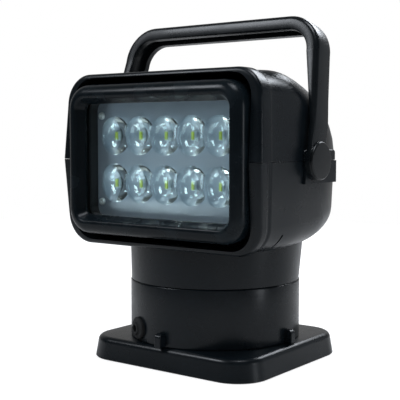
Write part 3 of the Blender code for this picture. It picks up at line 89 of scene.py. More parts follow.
# The studio: a pale room behind the lamp that fades to a dim one in front of it, so that
# the black plastics stay black, with soft lamps that draw their edges.
ROOM_LIGHT = 0.6
DIM_ROOM = 0.03
PALE_ROOM = 0.4
world = bpy.data.worlds.new("studio")
bpy.context.scene.world = world
world.use_nodes = True
room = world.node_tree
room.nodes.clear()
seen, by_camera = background_share(room)
direction = node(room, "TexCoord").outputs["Generated"]
behind = node(room, "VectorMath", {0: direction, 1: (-0.60, 0.80, 0.0)}, operation="DOT_PRODUCT")
fade = {"Value": behind.outputs["Value"], "From Min": 0.25, "From Max": 0.95}
fade.update({"To Min": DIM_ROOM, "To Max": PALE_ROOM})
mirrored = node(room, "MapRange", fade, interpolation_type="SMOOTHSTEP").outputs[0]
shown = node(room, "Mix", {0: by_camera, 2: mirrored, 3: 1.0}).outputs[0]
strength = node(room, "Mix", {0: seen, 2: ROOM_LIGHT, 3: shown}).outputs[0]
sky = node(room, "Background", {"Color": (1, 1, 1, 1), "Strength": strength})
node(room, "OutputWorld", {"Surface": sky.outputs[0]})

# The floor: pale card that takes the object's soft shadow.
FLOOR_REACH = 1.0
FLOOR_GLOW = 0.65
bm = bmesh.new()
bmesh.ops.create_grid(bm, x_segments=1, y_segments=1, size=FLOOR_REACH)
bmesh.ops.translate(bm, verts=bm.verts, vec=(0, 0, -0.4 * MM))
floor_mesh = bpy.data.meshes.new("floor")
bm.to_mesh(floor_mesh)
bm.free()
floor = bpy.data.objects.new("floor", floor_mesh)
bpy.context.scene.collection.objects.link(floor)
card = bpy.data.materials.new("pale_card")
card.use_nodes = True
paper = card.node_tree
paper.nodes.clear()
seen, by_camera = background_share(paper)
lit = node(paper, "BsdfDiffuse", {"Color": linear("#c4c4c4")})
glow = node(paper, "Emission", {"Color": (1, 1, 1, 1), "Strength": by_camera})
lifted = node(paper, "AddShader", {0: lit.outputs[0], 1: glow.outputs[0]})
partly = node(paper, "MixShader", {0: FLOOR_GLOW, 1: lit.outputs[0], 2: lifted.outputs[0]})
node(paper, "OutputMaterial", {"Surface": partly.outputs[0]})
floor_mesh.materials.append(card)

# name: where it hangs, where it points, its width and height in metres, and its power in watts
LAMPS = {
    "overhead": ((0.28, -0.20, 1.25), (0.0, 0.0, 0.12), 0.50, 0.40, 7.0),
    "front_left": ((-0.78, -0.92, 1.05), (0.0, -0.05, 0.15), 0.40, 0.45, 9.0),
    "top_rear": ((0.05, 0.95, 0.85), (0.0, 0.0, 0.18), 0.60, 0.30, 8.0),
    "rear_right": ((0.90, 1.10, 0.30), (0.0, 0.0, 0.13), 0.90, 0.70, 0.6),
    "side_strip": ((1.25, 0.15, 0.18), (0.0, 0.0, 0.13), 0.10, 0.45, 1.8),
}
# lamps that light only what stands behind the window: a tall one each side and three low glints
WINDOW_LAMPS = {
    "tall_left": ((-1.02, -0.76, 0.81), (0.0, -0.067, 0.15), 0.50, 1.10, 7.5),
    "tall_right": ((0.36, -0.74, 0.40), (0.0, -0.067, 0.15), 0.12, 0.90, 3.2),
    "glint_left": ((-0.145, -0.234, 0.060), (0.0, -0.067, 0.15), 0.055, 0.085, 0.42),
    "glint_right": ((0.031, -0.214, 0.020), (0.0, -0.067, 0.15), 0.026, 0.026, 0.07),
    "glint_low": ((-0.060, -0.143, 0.022), (0.0, -0.067, 0.15), 0.020, 0.010, 0.02),
}
COOL_WHITE = (0.88, 0.93, 1.0)


def hang_lamp(name, place, aim, width, height, power):
    """Hangs a soft rectangular lamp that the camera doesn't see."""
    lamp_data = bpy.data.lights.new(name, "AREA")
    lamp_data.shape = "RECTANGLE"
    lamp_data.size = width
    lamp_data.size_y = height
    lamp_data.energy = power
    lamp_data.color = COOL_WHITE
    lamp = bpy.data.objects.new(name, lamp_data)
    lamp.location = place
    lamp.rotation_euler = (Vector(aim) - Vector(place)).to_track_quat("-Z", "Y").to_euler()
    lamp.visible_camera = False
    bpy.context.scene.collection.objects.link(lamp)
    return lamp


for name, settings in LAMPS.items():
    hang_lamp(name, *settings)
behind_window = bpy.data.collections.new("behind_window")
for name, settings in WINDOW_LAMPS.items():
    hang_lamp(name, *settings).light_linking.receiver_collection = behind_window

# Base plate: the square foot with round corners, injection-moulded in black ABS with a
# little draft, hollow below for the magnets and closed by a flat cover.
BASE_HALF_WIDTH = 76 * MM
BASE_HALF_DEPTH = 69 * MM
BASE_HEIGHT = 16.5 * MM
BASE_CORNER = 25 * MM
BASE_DRAFT = 2 * MM
BASE_EDGE = 4.5 * MM
BASE_WALL = 4 * MM


def arc(centre, radius, start, end, steps):
    """Points along an arc of a circle, both ends included; angles in degrees."""
    angles = [math.radians(start + (end - start) * i / steps) for i in range(steps + 1)]
    return [(centre[0] + radius * math.cos(a), centre[1] + radius * math.sin(a)) for a in angles]


def rounded_rectangle(half_width, half_height, corner, steps=10):
    """The outline of a rectangle with round corners, anticlockwise from its right side."""
    points = []
    for quarter, (sx, sy) in enumerate(((1, 1), (-1, 1), (-1, -1), (1, -1))):
        centre = (sx * (half_width - corner), sy * (half_height - corner))
        points += arc(centre, corner, 90 * quarter, 90 * quarter + 90, steps)
    return points


def extrude_sections(bm, sections, closed=False):
    """Extrudes one ring of edges through every section, then closes its ends or joins them."""
    order = bm.verts.layers.int.new("order")
    ring = bmesh.ops.create_circle(bm, segments=len(sections[0]), radius=1)["verts"]
    for i, vert in enumerate(ring):
        vert[order] = i
        vert.co = sections[0][i]
    edges = list({e for v in ring for e in v.link_edges})
    if not closed:
        bmesh.ops.contextual_create(bm, geom=edges)
    for section in sections[1:] + (sections[:1] if closed else []):
        grown = bmesh.ops.extrude_edge_only(bm, edges=edges)["geom"]
        edges = [g for g in grown if isinstance(g, bmesh.types.BMEdge)]
        ring = [g for g in grown if isinstance(g, bmesh.types.BMVert)]
        for vert in ring:
            vert.co = section[vert[order]]
    if closed:
        bmesh.ops.remove_doubles(bm, verts=bm.verts, dist=1e-6)
    else:
        bmesh.ops.contextual_create(bm, geom=edges)


def add_piece(name, bm, body, materials, replaced, angle=35):
    """Makes a finished bmesh a piece that rides on a body and stands for CAD nodes."""
    bmesh.ops.recalc_face_normals(bm, faces=bm.faces)
    mesh = bpy.data.meshes.new(name)
    bm.to_mesh(mesh)
    bm.free()
    for material in materials:
        mesh.materials.append(material)
    mesh.shade_smooth()
    mesh.set_sharp_from_angle(angle=math.radians(angle))
    piece = bpy.data.objects.new(name, mesh)
    bpy.context.scene.collection.objects.link(piece)
    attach(piece, body)
    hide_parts(*replaced)
    return piece


def soften(piece, width, segments=2, angle=40):
    """Rounds a piece's sharp edges, as a mould leaves them."""
    rounding = piece.modifiers.new("rounding", "BEVEL")
    rounding.width = width
    rounding.segments = segments
    rounding.limit_method = "ANGLE"
    rounding.angle_limit = math.radians(angle)


def moulded_plastic(name, colour, worn, roughness, spread, grain, depth, gloss=0.5):
    """Injection-moulded black plastic. A fine spark-eroded grain softens its shine, and
    handling leaves faint paler clouds that are a little rougher."""
    material = bpy.data.materials.new(name)
    material.use_nodes = True
    tree = material.node_tree
    coords = node(tree, "TexCoord").outputs["Object"]
    clouds = node(tree, "TexNoise", {"Vector": coords, "Scale": 1 / (26 * MM), "Detail": 4.0})
    dust = node(tree, "TexNoise", {"Vector": coords, "Scale": 1 / (2.2 * MM), "Detail": 2.0})
    worn_share = {"Value": clouds.outputs["Fac"], "From Min": 0.42, "From Max": 0.72}
    share = node(tree, "MapRange", worn_share, interpolation_type="SMOOTHSTEP").outputs[0]
    speckle = {"Value": dust.outputs["Fac"], "From Min": 0.35, "From Max": 0.8, "To Max": 0.6}
    speckled = node(tree, "MapRange", speckle).outputs[0]
    mixed = node(tree, "Math", {0: share, 1: speckled, 2: 0.12}, operation="MULTIPLY_ADD").outputs[0]
    tint = node(tree, "Mix", {0: mixed, 6: linear(colour), 7: linear(worn)}, data_type="RGBA")
    rough = {"Value": share, "To Min": roughness, "To Max": roughness + spread}
    rough = node(tree, "MapRange", rough).outputs[0]
    pits = node(tree, "TexNoise", {"Vector": coords, "Scale": 1 / grain, "Detail": 1.0})
    bump = node(tree, "Bump", {"Height": pits.outputs["Fac"], "Distance": depth, "Strength": 0.6})
    finish = {"Base Color": tint.outputs[2], "Roughness": rough, "Normal": bump.outputs[0]}
    plug(tree.nodes["Principled BSDF"], {"Specular IOR Level": gloss, **finish})
    return material


SATIN_ABS = moulded_plastic("satin_black_abs", "#080d11", "#0f181e", 0.27, 0.08, 0.9 * MM, 0.02 * MM, 0.24)


def base_section(inset, height):
    """The base's plan, drawn in by inset, at one height."""
    size = (BASE_HALF_WIDTH - inset, BASE_HALF_DEPTH - inset, BASE_CORNER - inset)
    return [(x, y, height) for x, y in rounded_rectangle(*size, steps=14)]


crown = arc((BASE_EDGE, 0), BASE_EDGE, 180, 90, 8)
outside = [(BASE_WALL + BASE_DRAFT, BASE_HEIGHT - BASE_WALL), (BASE_WALL, 0.0)]
outside += [(0.6 * MM, 0.0), (0.0, 0.6 * MM)]
outside += [(BASE_DRAFT + run, BASE_HEIGHT - BASE_EDGE + rise) for run, rise in crown]
bm = bmesh.new()
extrude_sections(bm, [base_section(inset, height) for inset, height in outside])
add_piece("base_moulding", bm, "base", [SATIN_ABS], ["base_plate"])

# Bottom cover, column screws and magnets: a flat ABS lid with windows for four pot magnets
# in nickel-plated cups, which hold the lamp to a deck, and screws up into the column.
MATT_ABS = moulded_plastic("matt_black_abs", "#101214", "#1a1d20", 0.55, 0.10, 0.6 * MM, 0.03 * MM, 0.4)


def dress(names, material):
    """Gives CAD nodes a finished material in every slot."""
    for name in names:
        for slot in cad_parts[name].material_slots:
            slot.material = material


def worked_metal(name, colour, tarnish, roughness, spread, grain, stretch=(1, 1, 1), metallic=1.0):
    """Bare or plated metal. The marks of rolling, turning or casting run along stretch, and
    they spread its highlights more than they colour it."""
    material = bpy.data.materials.new(name)
    material.use_nodes = True
    tree = material.node_tree
    coords = node(tree, "TexCoord").outputs["Object"]
    along = node(tree, "Mapping", {"Vector": coords, "Scale": stretch}).outputs[0]
    marks = node(tree, "TexNoise", {"Vector": along, "Scale": 1 / grain, "Detail": 3.0})
    stains = node(tree, "TexNoise", {"Vector": coords, "Scale": 1 / (9 * MM), "Detail": 3.0})
    tint = {0: stains.outputs["Fac"], 6: linear(colour), 7: linear(tarnish)}
    tint = node(tree, "Mix", tint, data_type="RGBA").outputs[2]
    rough = {"Value": marks.outputs["Fac"], "From Min": 0.3, "From Max": 0.7, "To Min": roughness}
    rough["To Max"] = roughness + spread
    rough = node(tree, "MapRange", rough).outputs[0]
    bump = node(tree, "Bump", {"Height": marks.outputs["Fac"], "Distance": 0.02 * MM, "Strength": 0.5})
    finish = {"Base Color": tint, "Roughness": rough, "Normal": bump.outputs[0]}
    plug(tree.nodes["Principled BSDF"], {"Metallic": metallic, **finish})
    return material


STAINLESS = worked_metal("turned_stainless", "#b9bcc0", "#9a9da2", 0.22, 0.14, 0.5 * MM)
NICKEL = worked_metal("nickel_plated_cup", "#a9a7a0", "#8b8982", 0.25, 0.15, 1.2 * MM)
dress(["bottom_cover"], MATT_ABS)
dress([f"magnet_{i}" for i in range(1, 5)], NICKEL)
dress([f"column_screw_{i}" for i in range(1, 5)], STAINLESS)

# Column: a short round ABS pedestal, turned smooth by its mould, with four small ribs at
# its foot and a deck inside its top for the pan drive.
COLUMN_RADIUS = 65 * MM
COLUMN_FOOT = 16.8 * MM
COLUMN_TOP = 60 * MM
COLUMN_WALL = 3.5 * MM
COLUMN_CHAMFER = 0.8 * MM
FOOT_ROUND = 0.6 * MM
DECK_TOP = 54 * MM
DECK_THICKNESS = 4 * MM
HUB_HOLE = 10.3 * MM
FLANGE_TOP = 20.8 * MM
FLANGE_WIDTH = 12 * MM
RIB_REACH = 6 * MM
RIB_HEIGHT = 10 * MM
RIB_WIDTH = 5.5 * MM
RIB_ROUND = 3 * MM


def spun(bm, profile, steps, place=Matrix.Identity(4)):
    """Spins a closed profile of (radius, height) about Z, then sets it in place."""
    others = set(bm.verts)
    points = [bm.verts.new((radius, 0, height)) for radius, height in profile]
    pairs = zip(points, points[1:] + points[:1])
    edges = [bm.edges.new(pair) for pair in pairs if max(v.co.x for v in pair) > 0]
    bmesh.ops.spin(
        bm, geom=points + edges, cent=(0, 0, 0), axis=(0, 0, 1), angle=math.tau,
        steps=steps, use_merge=True,
    )
    verts = [v for v in bm.verts if v not in others]
    bmesh.ops.transform(bm, matrix=place, verts=verts)
    bmesh.ops.remove_doubles(bm, verts=verts, dist=1e-5)


bm = bmesh.new()
inner = COLUMN_RADIUS - COLUMN_WALL
foot_arc = arc((COLUMN_RADIUS - FOOT_ROUND, COLUMN_FOOT + FOOT_ROUND), FOOT_ROUND, -90, 0, 3)
top_arc = arc((COLUMN_RADIUS - COLUMN_CHAMFER, COLUMN_TOP - COLUMN_CHAMFER), COLUMN_CHAMFER, 0, 90, 4)
spun(bm, [
    *foot_arc, *top_arc, (inner, COLUMN_TOP), (inner, DECK_TOP), (HUB_HOLE, DECK_TOP),
    (HUB_HOLE, DECK_TOP - DECK_THICKNESS), (inner, DECK_TOP - DECK_THICKNESS), (inner, FLANGE_TOP),
    (inner - FLANGE_WIDTH, FLANGE_TOP), (inner - FLANGE_WIDTH, COLUMN_FOOT),
], 128)
for i in range(4):
    rib = bmesh.ops.create_cube(bm, size=1)["verts"]
    reach = COLUMN_RADIUS + RIB_REACH
    length = reach - inner
    bmesh.ops.scale(bm, vec=(length, RIB_WIDTH, RIB_HEIGHT), verts=rib)
    bmesh.ops.translate(bm, vec=(inner + length / 2, 0, COLUMN_FOOT + RIB_HEIGHT / 2), verts=rib)
    edges = list({e for v in rib for e in v.link_edges})
    top = [e for e in edges if all(v.co.z > COLUMN_FOOT + MM for v in e.verts)]
    toe = [e for e in top if all(v.co.x > reach - MM for v in e.verts)]
    rolled = bmesh.ops.bevel(
        bm, geom=toe, offset=RIB_ROUND, offset_type="OFFSET", segments=6, profile=0.5,
        affect="EDGES", material=-1,
    )
    verts = list({v for v in rib if v.is_valid} | set(rolled["verts"]))
    verts = list({w for v in verts for f in v.link_faces for w in f.verts})
    bmesh.ops.rotate(bm, cent=(0, 0, 0), matrix=Matrix.Rotation(math.radians(90 * i), 3, "Z"), verts=verts)
column = add_piece("column_moulding", bm, "base", [SATIN_ABS], ["column"])
soften(column, 0.7 * MM, 3, 50)

# Cable gland: a moulded rubber boss low on the column's front left, whose mouth takes the
# supply cable. Its soft black shows almost no highlight.
GLAND_TURN = math.radians(-24 - 90)
GLAND_AXIS_Z = 26.2 * MM
GLAND_RADIUS = 8.4 * MM
GLAND_FACE = 64.4 * MM
GLAND_SHOULDER = 67.6 * MM
GLAND_NOSE = 69.2 * MM
GLAND_MOUTH = 4.2 * MM
GLAND_BORE = 2.6 * MM


def rubber(name, colour, bloom):
    """Moulded black rubber, matt, with the pale bloom that it sweats out in patches."""
    material = bpy.data.materials.new(name)
    material.use_nodes = True
    tree = material.node_tree
    coords = node(tree, "TexCoord").outputs["Object"]
    patches = node(tree, "TexNoise", {"Vector": coords, "Scale": 1 / (5 * MM), "Detail": 5.0})
    tint = {0: patches.outputs["Fac"], 6: linear(colour), 7: linear(bloom)}
    tint = node(tree, "Mix", tint, data_type="RGBA").outputs[2]
    rough = {"Value": patches.outputs["Fac"], "To Min": 0.6, "To Max": 0.8}
    rough = node(tree, "MapRange", rough).outputs[0]
    fine = node(tree, "TexNoise", {"Vector": coords, "Scale": 1 / (0.5 * MM), "Detail": 2.0})
    bump = node(tree, "Bump", {"Height": fine.outputs["Fac"], "Distance": 0.04 * MM, "Strength": 0.5})
    finish = {"Base Color": tint, "Roughness": rough, "Normal": bump.outputs[0]}
    plug(tree.nodes["Principled BSDF"], {"Specular IOR Level": 0.35, **finish})
    return material


GLAND_RUBBER = rubber("moulded_rubber", "#0f1011", "#191b1c")
ALONG_X = Matrix(((0, 0, 1, 0), (0, 1, 0, 0), (-1, 0, 0, 0), (0, 0, 0, 1)))
bm = bmesh.new()
stem = GLAND_FACE - 4 * MM
gland_profile = [
    (GLAND_BORE, stem), (GLAND_MOUTH, stem), (GLAND_MOUTH, GLAND_FACE - 0.3 * MM),
    (GLAND_RADIUS, GLAND_FACE - 0.3 * MM),
    *arc((GLAND_RADIUS - 1.6 * MM, GLAND_SHOULDER - 1.6 * MM), 1.6 * MM, 0, 90, 5),
    (GLAND_MOUTH + 0.8 * MM, GLAND_SHOULDER), (GLAND_MOUTH, GLAND_NOSE), (GLAND_BORE, GLAND_NOSE),
]
gland_place = Matrix.Translation((0, 0, GLAND_AXIS_Z)) @ Matrix.Rotation(GLAND_TURN, 4, "Z") @ ALONG_X
spun(bm, gland_profile, 64, gland_place)
gland = add_piece("gland_boot", bm, "base", [GLAND_RUBBER], ["cable_gland"])
soften(gland, 0.35 * MM, 2, 50)

# Pan drive: a nylon ring gear in the column's top, a thrust washer, and a steel spindle and
# nut that hold the head down on it, driven by a geared motor with a nylon pinion.


def moulded_nylon(name, colour, shade):
    """Natural moulded nylon, ivory and a little waxy, so light sinks into it at the edges."""
    material = bpy.data.materials.new(name)
    material.use_nodes = True
    tree = material.node_tree
    coords = node(tree, "TexCoord").outputs["Object"]
    cloud = node(tree, "TexNoise", {"Vector": coords, "Scale": 1 / (8 * MM), "Detail": 3.0})
    tint = {0: cloud.outputs["Fac"], 6: linear(colour), 7: linear(shade)}
    tint = node(tree, "Mix", tint, data_type="RGBA").outputs[2]
    rough = {"Value": cloud.outputs["Fac"], "To Min": 0.38, "To Max": 0.55}
    rough = node(tree, "MapRange", rough).outputs[0]
    sinking = {"Subsurface Weight": 0.1, "Subsurface Scale": 1.0}
    sinking["Subsurface Radius"] = (1.2 * MM, 1.0 * MM, 0.7 * MM)
    plug(tree.nodes["Principled BSDF"], {"Base Color": tint, "Roughness": rough, **sinking})
    return material


NYLON = moulded_nylon("natural_nylon", "#d9d5c6", "#c6c1b0")
MOTOR_STEEL = worked_metal("drawn_motor_can", "#8f9296", "#74777b", 0.28, 0.18, 0.4 * MM, (1, 1, 6))
dress(["pan_ring_gear", "thrust_washer", "pan_pinion"], NYLON)
dress(["pan_spindle", "spindle_nut"], STAINLESS)
dress(["pan_motor"], MOTOR_STEEL)

# Lower and upper shells: the head's two ABS mouldings, parted at mid height and screwed
# from below. A round-edged rim frames the lamp's bay, and behind it both close in to a dome.
AXIS_Z = 151.3 * MM
PARTING_GAP = 0.3 * MM
HEAD_HALF_WIDTH = 90 * MM
HEAD_HALF_HEIGHT = 63.3 * MM
HEAD_FRONT = 70 * MM
HEAD_REAR = 89 * MM
HEAD_CORNER = 20 * MM
LOW_CORNER_RUN = 26 * MM
LOW_CORNER_RISE = 9 * MM
DOME_START = -42 * MM
DOME_LENGTH = 112 * MM
UPPER_DOME_POWER = 7
LOWER_DOME_POWER = 20
SIDE_DRAFT = 3 * MM
CHEVRON = 4 * MM
SHELL_WALL = 3.2 * MM
BAY_HALF_WIDTH = 80.3 * MM
PIVOT_BAND = 22 * MM
RIM_EDGE = 3 * MM
RIM_STEP = 1.2 * MM
RIM_BOW = 0.9
STEP_BOW = 0.85
UPPER_RIM = 12 * MM
LOWER_RIM = 7 * MM
LOWER_GROOVE = 1.2 * MM
GROOVE_RUN = 6 * MM
GROOVE_STEPS = 8
RIM_BLEND = 10 * MM
SETTLE_RUN = 40 * MM
CORNER_STEPS = 12
DOME_STEPS = 26


def dome_share(y, power):
    """The share of its half height that the head keeps at y behind the start of the dome."""
    run = (y - DOME_START) / (HEAD_REAR - DOME_START)
    return math.sqrt(max(0.0, 1 - max(0.0, run) ** power))


def head_section(y, inset=0.0, bow=0.0, room=False):
    """One XZ section of the head, or of the room inside it. bow is the share of the chevron
    by which the front bows forward at the parting line."""
    wall = SHELL_WALL if room else 0.0
    rear = HEAD_REAR - wall
    widest = HEAD_HALF_WIDTH - SIDE_DRAFT / 2 - wall
    if room and y < PIVOT_BAND - HEAD_FRONT:
        widest = BAY_HALF_WIDTH
    half_width = min(widest, math.sqrt(max(rear * rear - max(y, 0.0) ** 2, 1e-7))) - inset
    above = HEAD_HALF_HEIGHT * dome_share(y, UPPER_DOME_POWER) - wall - inset
    below = HEAD_HALF_HEIGHT * dome_share(y, LOWER_DOME_POWER) - wall - inset
    corner = HEAD_CORNER - wall - inset
    share = min(1.0, max(0.0, (y - DOME_START) / DOME_LENGTH))
    dome = share * share * (3 - 2 * share)
    top = (above, corner + (half_width - corner) * dome, corner + (above - corner) * dome)
    low = (below, corner + LOW_CORNER_RUN * dome, corner + LOW_CORNER_RISE * dome)
    points = []
    for quarter, (sx, sz, sizes) in enumerate(((1, 1, top), (-1, 1, top), (-1, -1, low), (1, -1, low))):
        height, run, rise = sizes
        run, rise = min(run, half_width - MM), min(rise, height - MM)
        for c, s in arc((0, 0), 1, 90 * quarter, 90 * quarter + 90, CORNER_STEPS):
            points.append((sx * (half_width - run) + run * c, sz * (height - rise) + rise * s))
        if quarter in (1, 3):
            points.append((sx * half_width, 0.0))
    loop = []
    for x, z in points:
        part = 1 - min(1.0, abs(z) / HEAD_HALF_HEIGHT)
        draft = 0.0 if room else SIDE_DRAFT * (part - 0.5) * x / half_width
        loop.append(Vector((x + draft, y - CHEVRON * part * bow, AXIS_Z + z)))
    return loop


def eased(first, last, steps):
    """Stations from first to last that close up towards the last, where the dome turns fast."""
    return [first + (last - first) * math.sin(math.pi / 2 * i / steps) for i in range(steps + 1)]


def shell_form(rim_width, groove):
    """The head's wall as one closed skin: back to front through the room inside it, round
    the rim, over its step or groove, and back over the dome."""
    front = -HEAD_FRONT
    band_end = PIVOT_BAND + front
    inside = eased(band_end + MM, HEAD_REAR - SHELL_WALL - MM / 2, DOME_STEPS)[::-1]
    sections = [head_section(y, room=True) for y in inside]
    sections += [head_section(y, room=True) for y in (band_end - MM, (front + band_end) / 2)]
    sections += [head_section(front + RIM_EDGE, room=True), head_section(front, room=True, bow=1)]
    edge = arc((0, 0), RIM_EDGE, 270, 180, 7)
    sections += [head_section(front + RIM_EDGE + rise, RIM_EDGE + run, bow=1) for run, rise in edge]
    sections.append(head_section(front + rim_width, bow=RIM_BOW))
    step_at = front + rim_width + RIM_STEP
    if groove:
        # a concave channel, deepest in its middle
        for i in range(GROOVE_STEPS + 1):
            along = i / GROOVE_STEPS
            dip = RIM_STEP * along + groove * math.sin(math.pi * along) ** 0.7
            y = front + rim_width + 0.3 * MM + GROOVE_RUN * along
            sections.append(head_section(y, dip, bow=RIM_BOW - 0.3 * along))
        step_at = front + rim_width + GROOVE_RUN
    else:
        sections.append(head_section(step_at - 0.4 * MM, RIM_STEP * 0.85, bow=0.87))
        sections.append(head_section(step_at, RIM_STEP, bow=STEP_BOW))
    blend = [step_at + RIM_BLEND * i / 4 for i in range(1, 4)]
    for y in blend + eased(DOME_START, HEAD_REAR - MM / 2, DOME_STEPS):
        # behind the step the wall comes back out to its full size so slowly that it doesn't show
        share = min(1.0, (y - step_at) / SETTLE_RUN)
        settled = 1 - share * share * (3 - 2 * share)
        sections.append(head_section(y, RIM_STEP * settled, bow=STEP_BOW * settled))
    return sections


def keep_side(bm, height, above):
    """Cuts a closed skin level at a height, keeps one side and closes the cut."""
    geom = bm.verts[:] + bm.edges[:] + bm.faces[:]
    made = bmesh.ops.bisect_plane(
        bm, geom=geom, dist=1e-6, plane_co=(0, 0, height), plane_no=(0, 0, 1),
        clear_outer=not above, clear_inner=above,
    )
    cut = [g for g in made["geom_cut"] if isinstance(g, bmesh.types.BMEdge)]
    facing = (0, 0, -1 if above else 1)
    bmesh.ops.triangle_fill(bm, edges=cut, use_beauty=True, use_dissolve=True, normal=facing)


NECK_RADIUS = 64.5 * MM
NECK_BOTTOM = 60.5 * MM
NECK_TOP = 96 * MM
NECK_GROWTH = 2.22 * MM
NECK_BORE = 60.5 * MM
TURNTABLE_TOP = 64.5 * MM
PAD_FRONT = -19.5 * MM
PAD_REAR = 24.5 * MM
PAD_LOW = -16 * MM
PAD_HIGH = 8 * MM
PAD_ROOT = 81.3 * MM
PAD_FACE = 91.4 * MM
PAD_EDGE = 2.6 * MM


def pad_half(bm, side, low, high, rounded):
    """One half of the seat that a handle hub turns on, proud of the shell's side."""
    verts = bmesh.ops.create_cube(bm, size=1)["verts"]
    size = (PAD_FACE - PAD_ROOT, PAD_REAR - PAD_FRONT, high - low)
    middle = (side * (PAD_FACE + PAD_ROOT) / 2, (PAD_FRONT + PAD_REAR) / 2, AXIS_Z + (low + high) / 2)
    bmesh.ops.scale(bm, vec=size, verts=verts)
    bmesh.ops.translate(bm, vec=middle, verts=verts)
    if rounded:
        edges = {e for v in verts for e in v.link_edges}
        top = [e for e in edges if all(v.co.z > AXIS_Z + high - MM / 10 for v in e.verts)]
        ends = [e for e in edges if abs(e.verts[0].co.z - e.verts[1].co.z) > MM]
        outer = [e for e in ends if all(abs(v.co.x) > PAD_FACE - MM / 10 for v in e.verts)]
        bmesh.ops.bevel(
            bm, geom=list(set(top) | set(outer)), offset=PAD_EDGE, offset_type="OFFSET", segments=5,
            profile=0.5, affect="EDGES", material=-1,
        )


def cut(bm, cutter):
    """Takes one closed skin out of another, and gives back what is left of it."""
    pair = []
    for skin in (bm, cutter):
        bmesh.ops.recalc_face_normals(skin, faces=skin.faces)
        mesh = bpy.data.meshes.new("cutting")
        skin.to_mesh(mesh)
        skin.free()
        pair.append(bpy.data.objects.new("cutting", mesh))
        bpy.context.scene.collection.objects.link(pair[-1])
    boolean = pair[0].modifiers.new("cut", "BOOLEAN")
    boolean.operation = "DIFFERENCE"
    boolean.solver = "EXACT"
    boolean.object = pair[1]
    bpy.context.view_layer.update()
    result = bpy.data.meshes.new_from_object(pair[0].evaluated_get(bpy.context.evaluated_depsgraph_get()))
    left = bmesh.new()
    left.from_mesh(result)
    for mesh in [made.data for made in pair] + [result]:
        bpy.data.meshes.remove(mesh)
    return left


# the drain slits through the lower shell's front corners: how long, how wide and where
SLIT_LENGTH = 9.5 * MM
SLIT_WIDTH = 1.8 * MM
SLIT_REACH = 18 * MM
SLIT_PLACE = (86 * MM, -41.5 * MM, 97 * MM)
SLIT_SLOPE = math.radians(72)

bm = bmesh.new()
extrude_sections(bm, shell_form(LOWER_RIM, LOWER_GROOVE))
bmesh.ops.recalc_face_normals(bm, faces=bm.faces)
keep_side(bm, AXIS_Z - PARTING_GAP / 2, False)
cutter = bmesh.new()
# the room opens down into the neck
bore = NECK_BORE + MM
spun(cutter, [(0.0, 80 * MM), (bore, 80 * MM), (bore, NECK_TOP), (0.0, NECK_TOP)], 128)
for side in (1, -1):
    slit = bmesh.ops.create_cube(cutter, size=1)["verts"]
    bmesh.ops.scale(cutter, vec=(SLIT_REACH, SLIT_LENGTH, SLIT_WIDTH), verts=slit)
    bmesh.ops.rotate(cutter, cent=(0, 0, 0), matrix=Matrix.Rotation(SLIT_SLOPE, 3, "X"), verts=slit)
    bmesh.ops.translate(cutter, vec=(side * SLIT_PLACE[0], SLIT_PLACE[1], SLIT_PLACE[2]), verts=slit)
bm = cut(bm, cutter)
spun(bm, [
    (NECK_RADIUS, NECK_BOTTOM), (NECK_RADIUS + NECK_GROWTH, NECK_TOP), (NECK_BORE, NECK_TOP),
    (NECK_BORE, TURNTABLE_TOP), (HUB_HOLE, TURNTABLE_TOP), (HUB_HOLE, NECK_BOTTOM),
], 128)
for vert in bm.verts:
    if vert.co.z < NECK_TOP + MM / 10 and Vector(vert.co[:2]).length < NECK_RADIUS + 3 * MM:
        # the neck leans back a little as it rises
        rise = max(0.0, vert.co.z - NECK_BOTTOM) / (NECK_TOP - NECK_BOTTOM)
        if vert.co.z < NECK_TOP - 9 * MM or abs(vert.co.z - NECK_TOP) < MM / 10:
            vert.co.y += NECK_GROWTH * rise
        if abs(vert.co.z - NECK_TOP) < MM / 10 and vert.co.y < -45 * MM:
            # low enough at the front for the sector gear to pass over it
            vert.co.z = AXIS_Z - HEAD_HALF_HEIGHT + SHELL_WALL - 0.4 * MM
for side in (1, -1):
    pad_half(bm, side, PAD_LOW, -PARTING_GAP / 2, False)
lower = add_piece("lower_shell_moulding", bm, "head", [SATIN_ABS], ["lower_shell"])
soften(lower, 0.35 * MM, 2, 45)

bm = bmesh.new()
extrude_sections(bm, shell_form(UPPER_RIM, 0.0))
bmesh.ops.recalc_face_normals(bm, faces=bm.faces)
keep_side(bm, AXIS_Z + PARTING_GAP / 2, True)
for side in (1, -1):
    pad_half(bm, side, PARTING_GAP / 2, PAD_HIGH, True)
upper = add_piece("upper_shell_moulding", bm, "head", [SATIN_ABS], ["upper_shell"])
soften(upper, 0.35 * MM, 2, 45)

# Inside the head: four stainless screws up through the shells, the control board on its
# posts, and the tilt drive, a geared motor on a folded steel bracket.


def circuit_board(name):
    """Glass-epoxy board under green solder resist, with the copper tracks showing through."""
    material = bpy.data.materials.new(name)
    material.use_nodes = True
    tree = material.node_tree
    coords = node(tree, "TexCoord").outputs["Object"]
    cells = {"Vector": coords, "Scale": 1 / (3 * MM), "Randomness": 0.2}
    tracks = node(tree, "TexVoronoi", cells, feature="DISTANCE_TO_EDGE", distance="CHEBYCHEV")
    line = {"Value": tracks.outputs["Distance"], "From Min": 0.04, "From Max": 0.12}
    line = node(tree, "MapRange", line).outputs[0]
    tint = node(tree, "Mix", {0: line, 6: linear("#2f7a4c"), 7: linear("#14502e")}, data_type="RGBA")
    rough = node(tree, "MapRange", {"Value": line, "To Min": 0.3, "To Max": 0.42}).outputs[0]
    plug(tree.nodes["Principled BSDF"], {"Base Color": tint.outputs[2], "Roughness": rough})
    return material


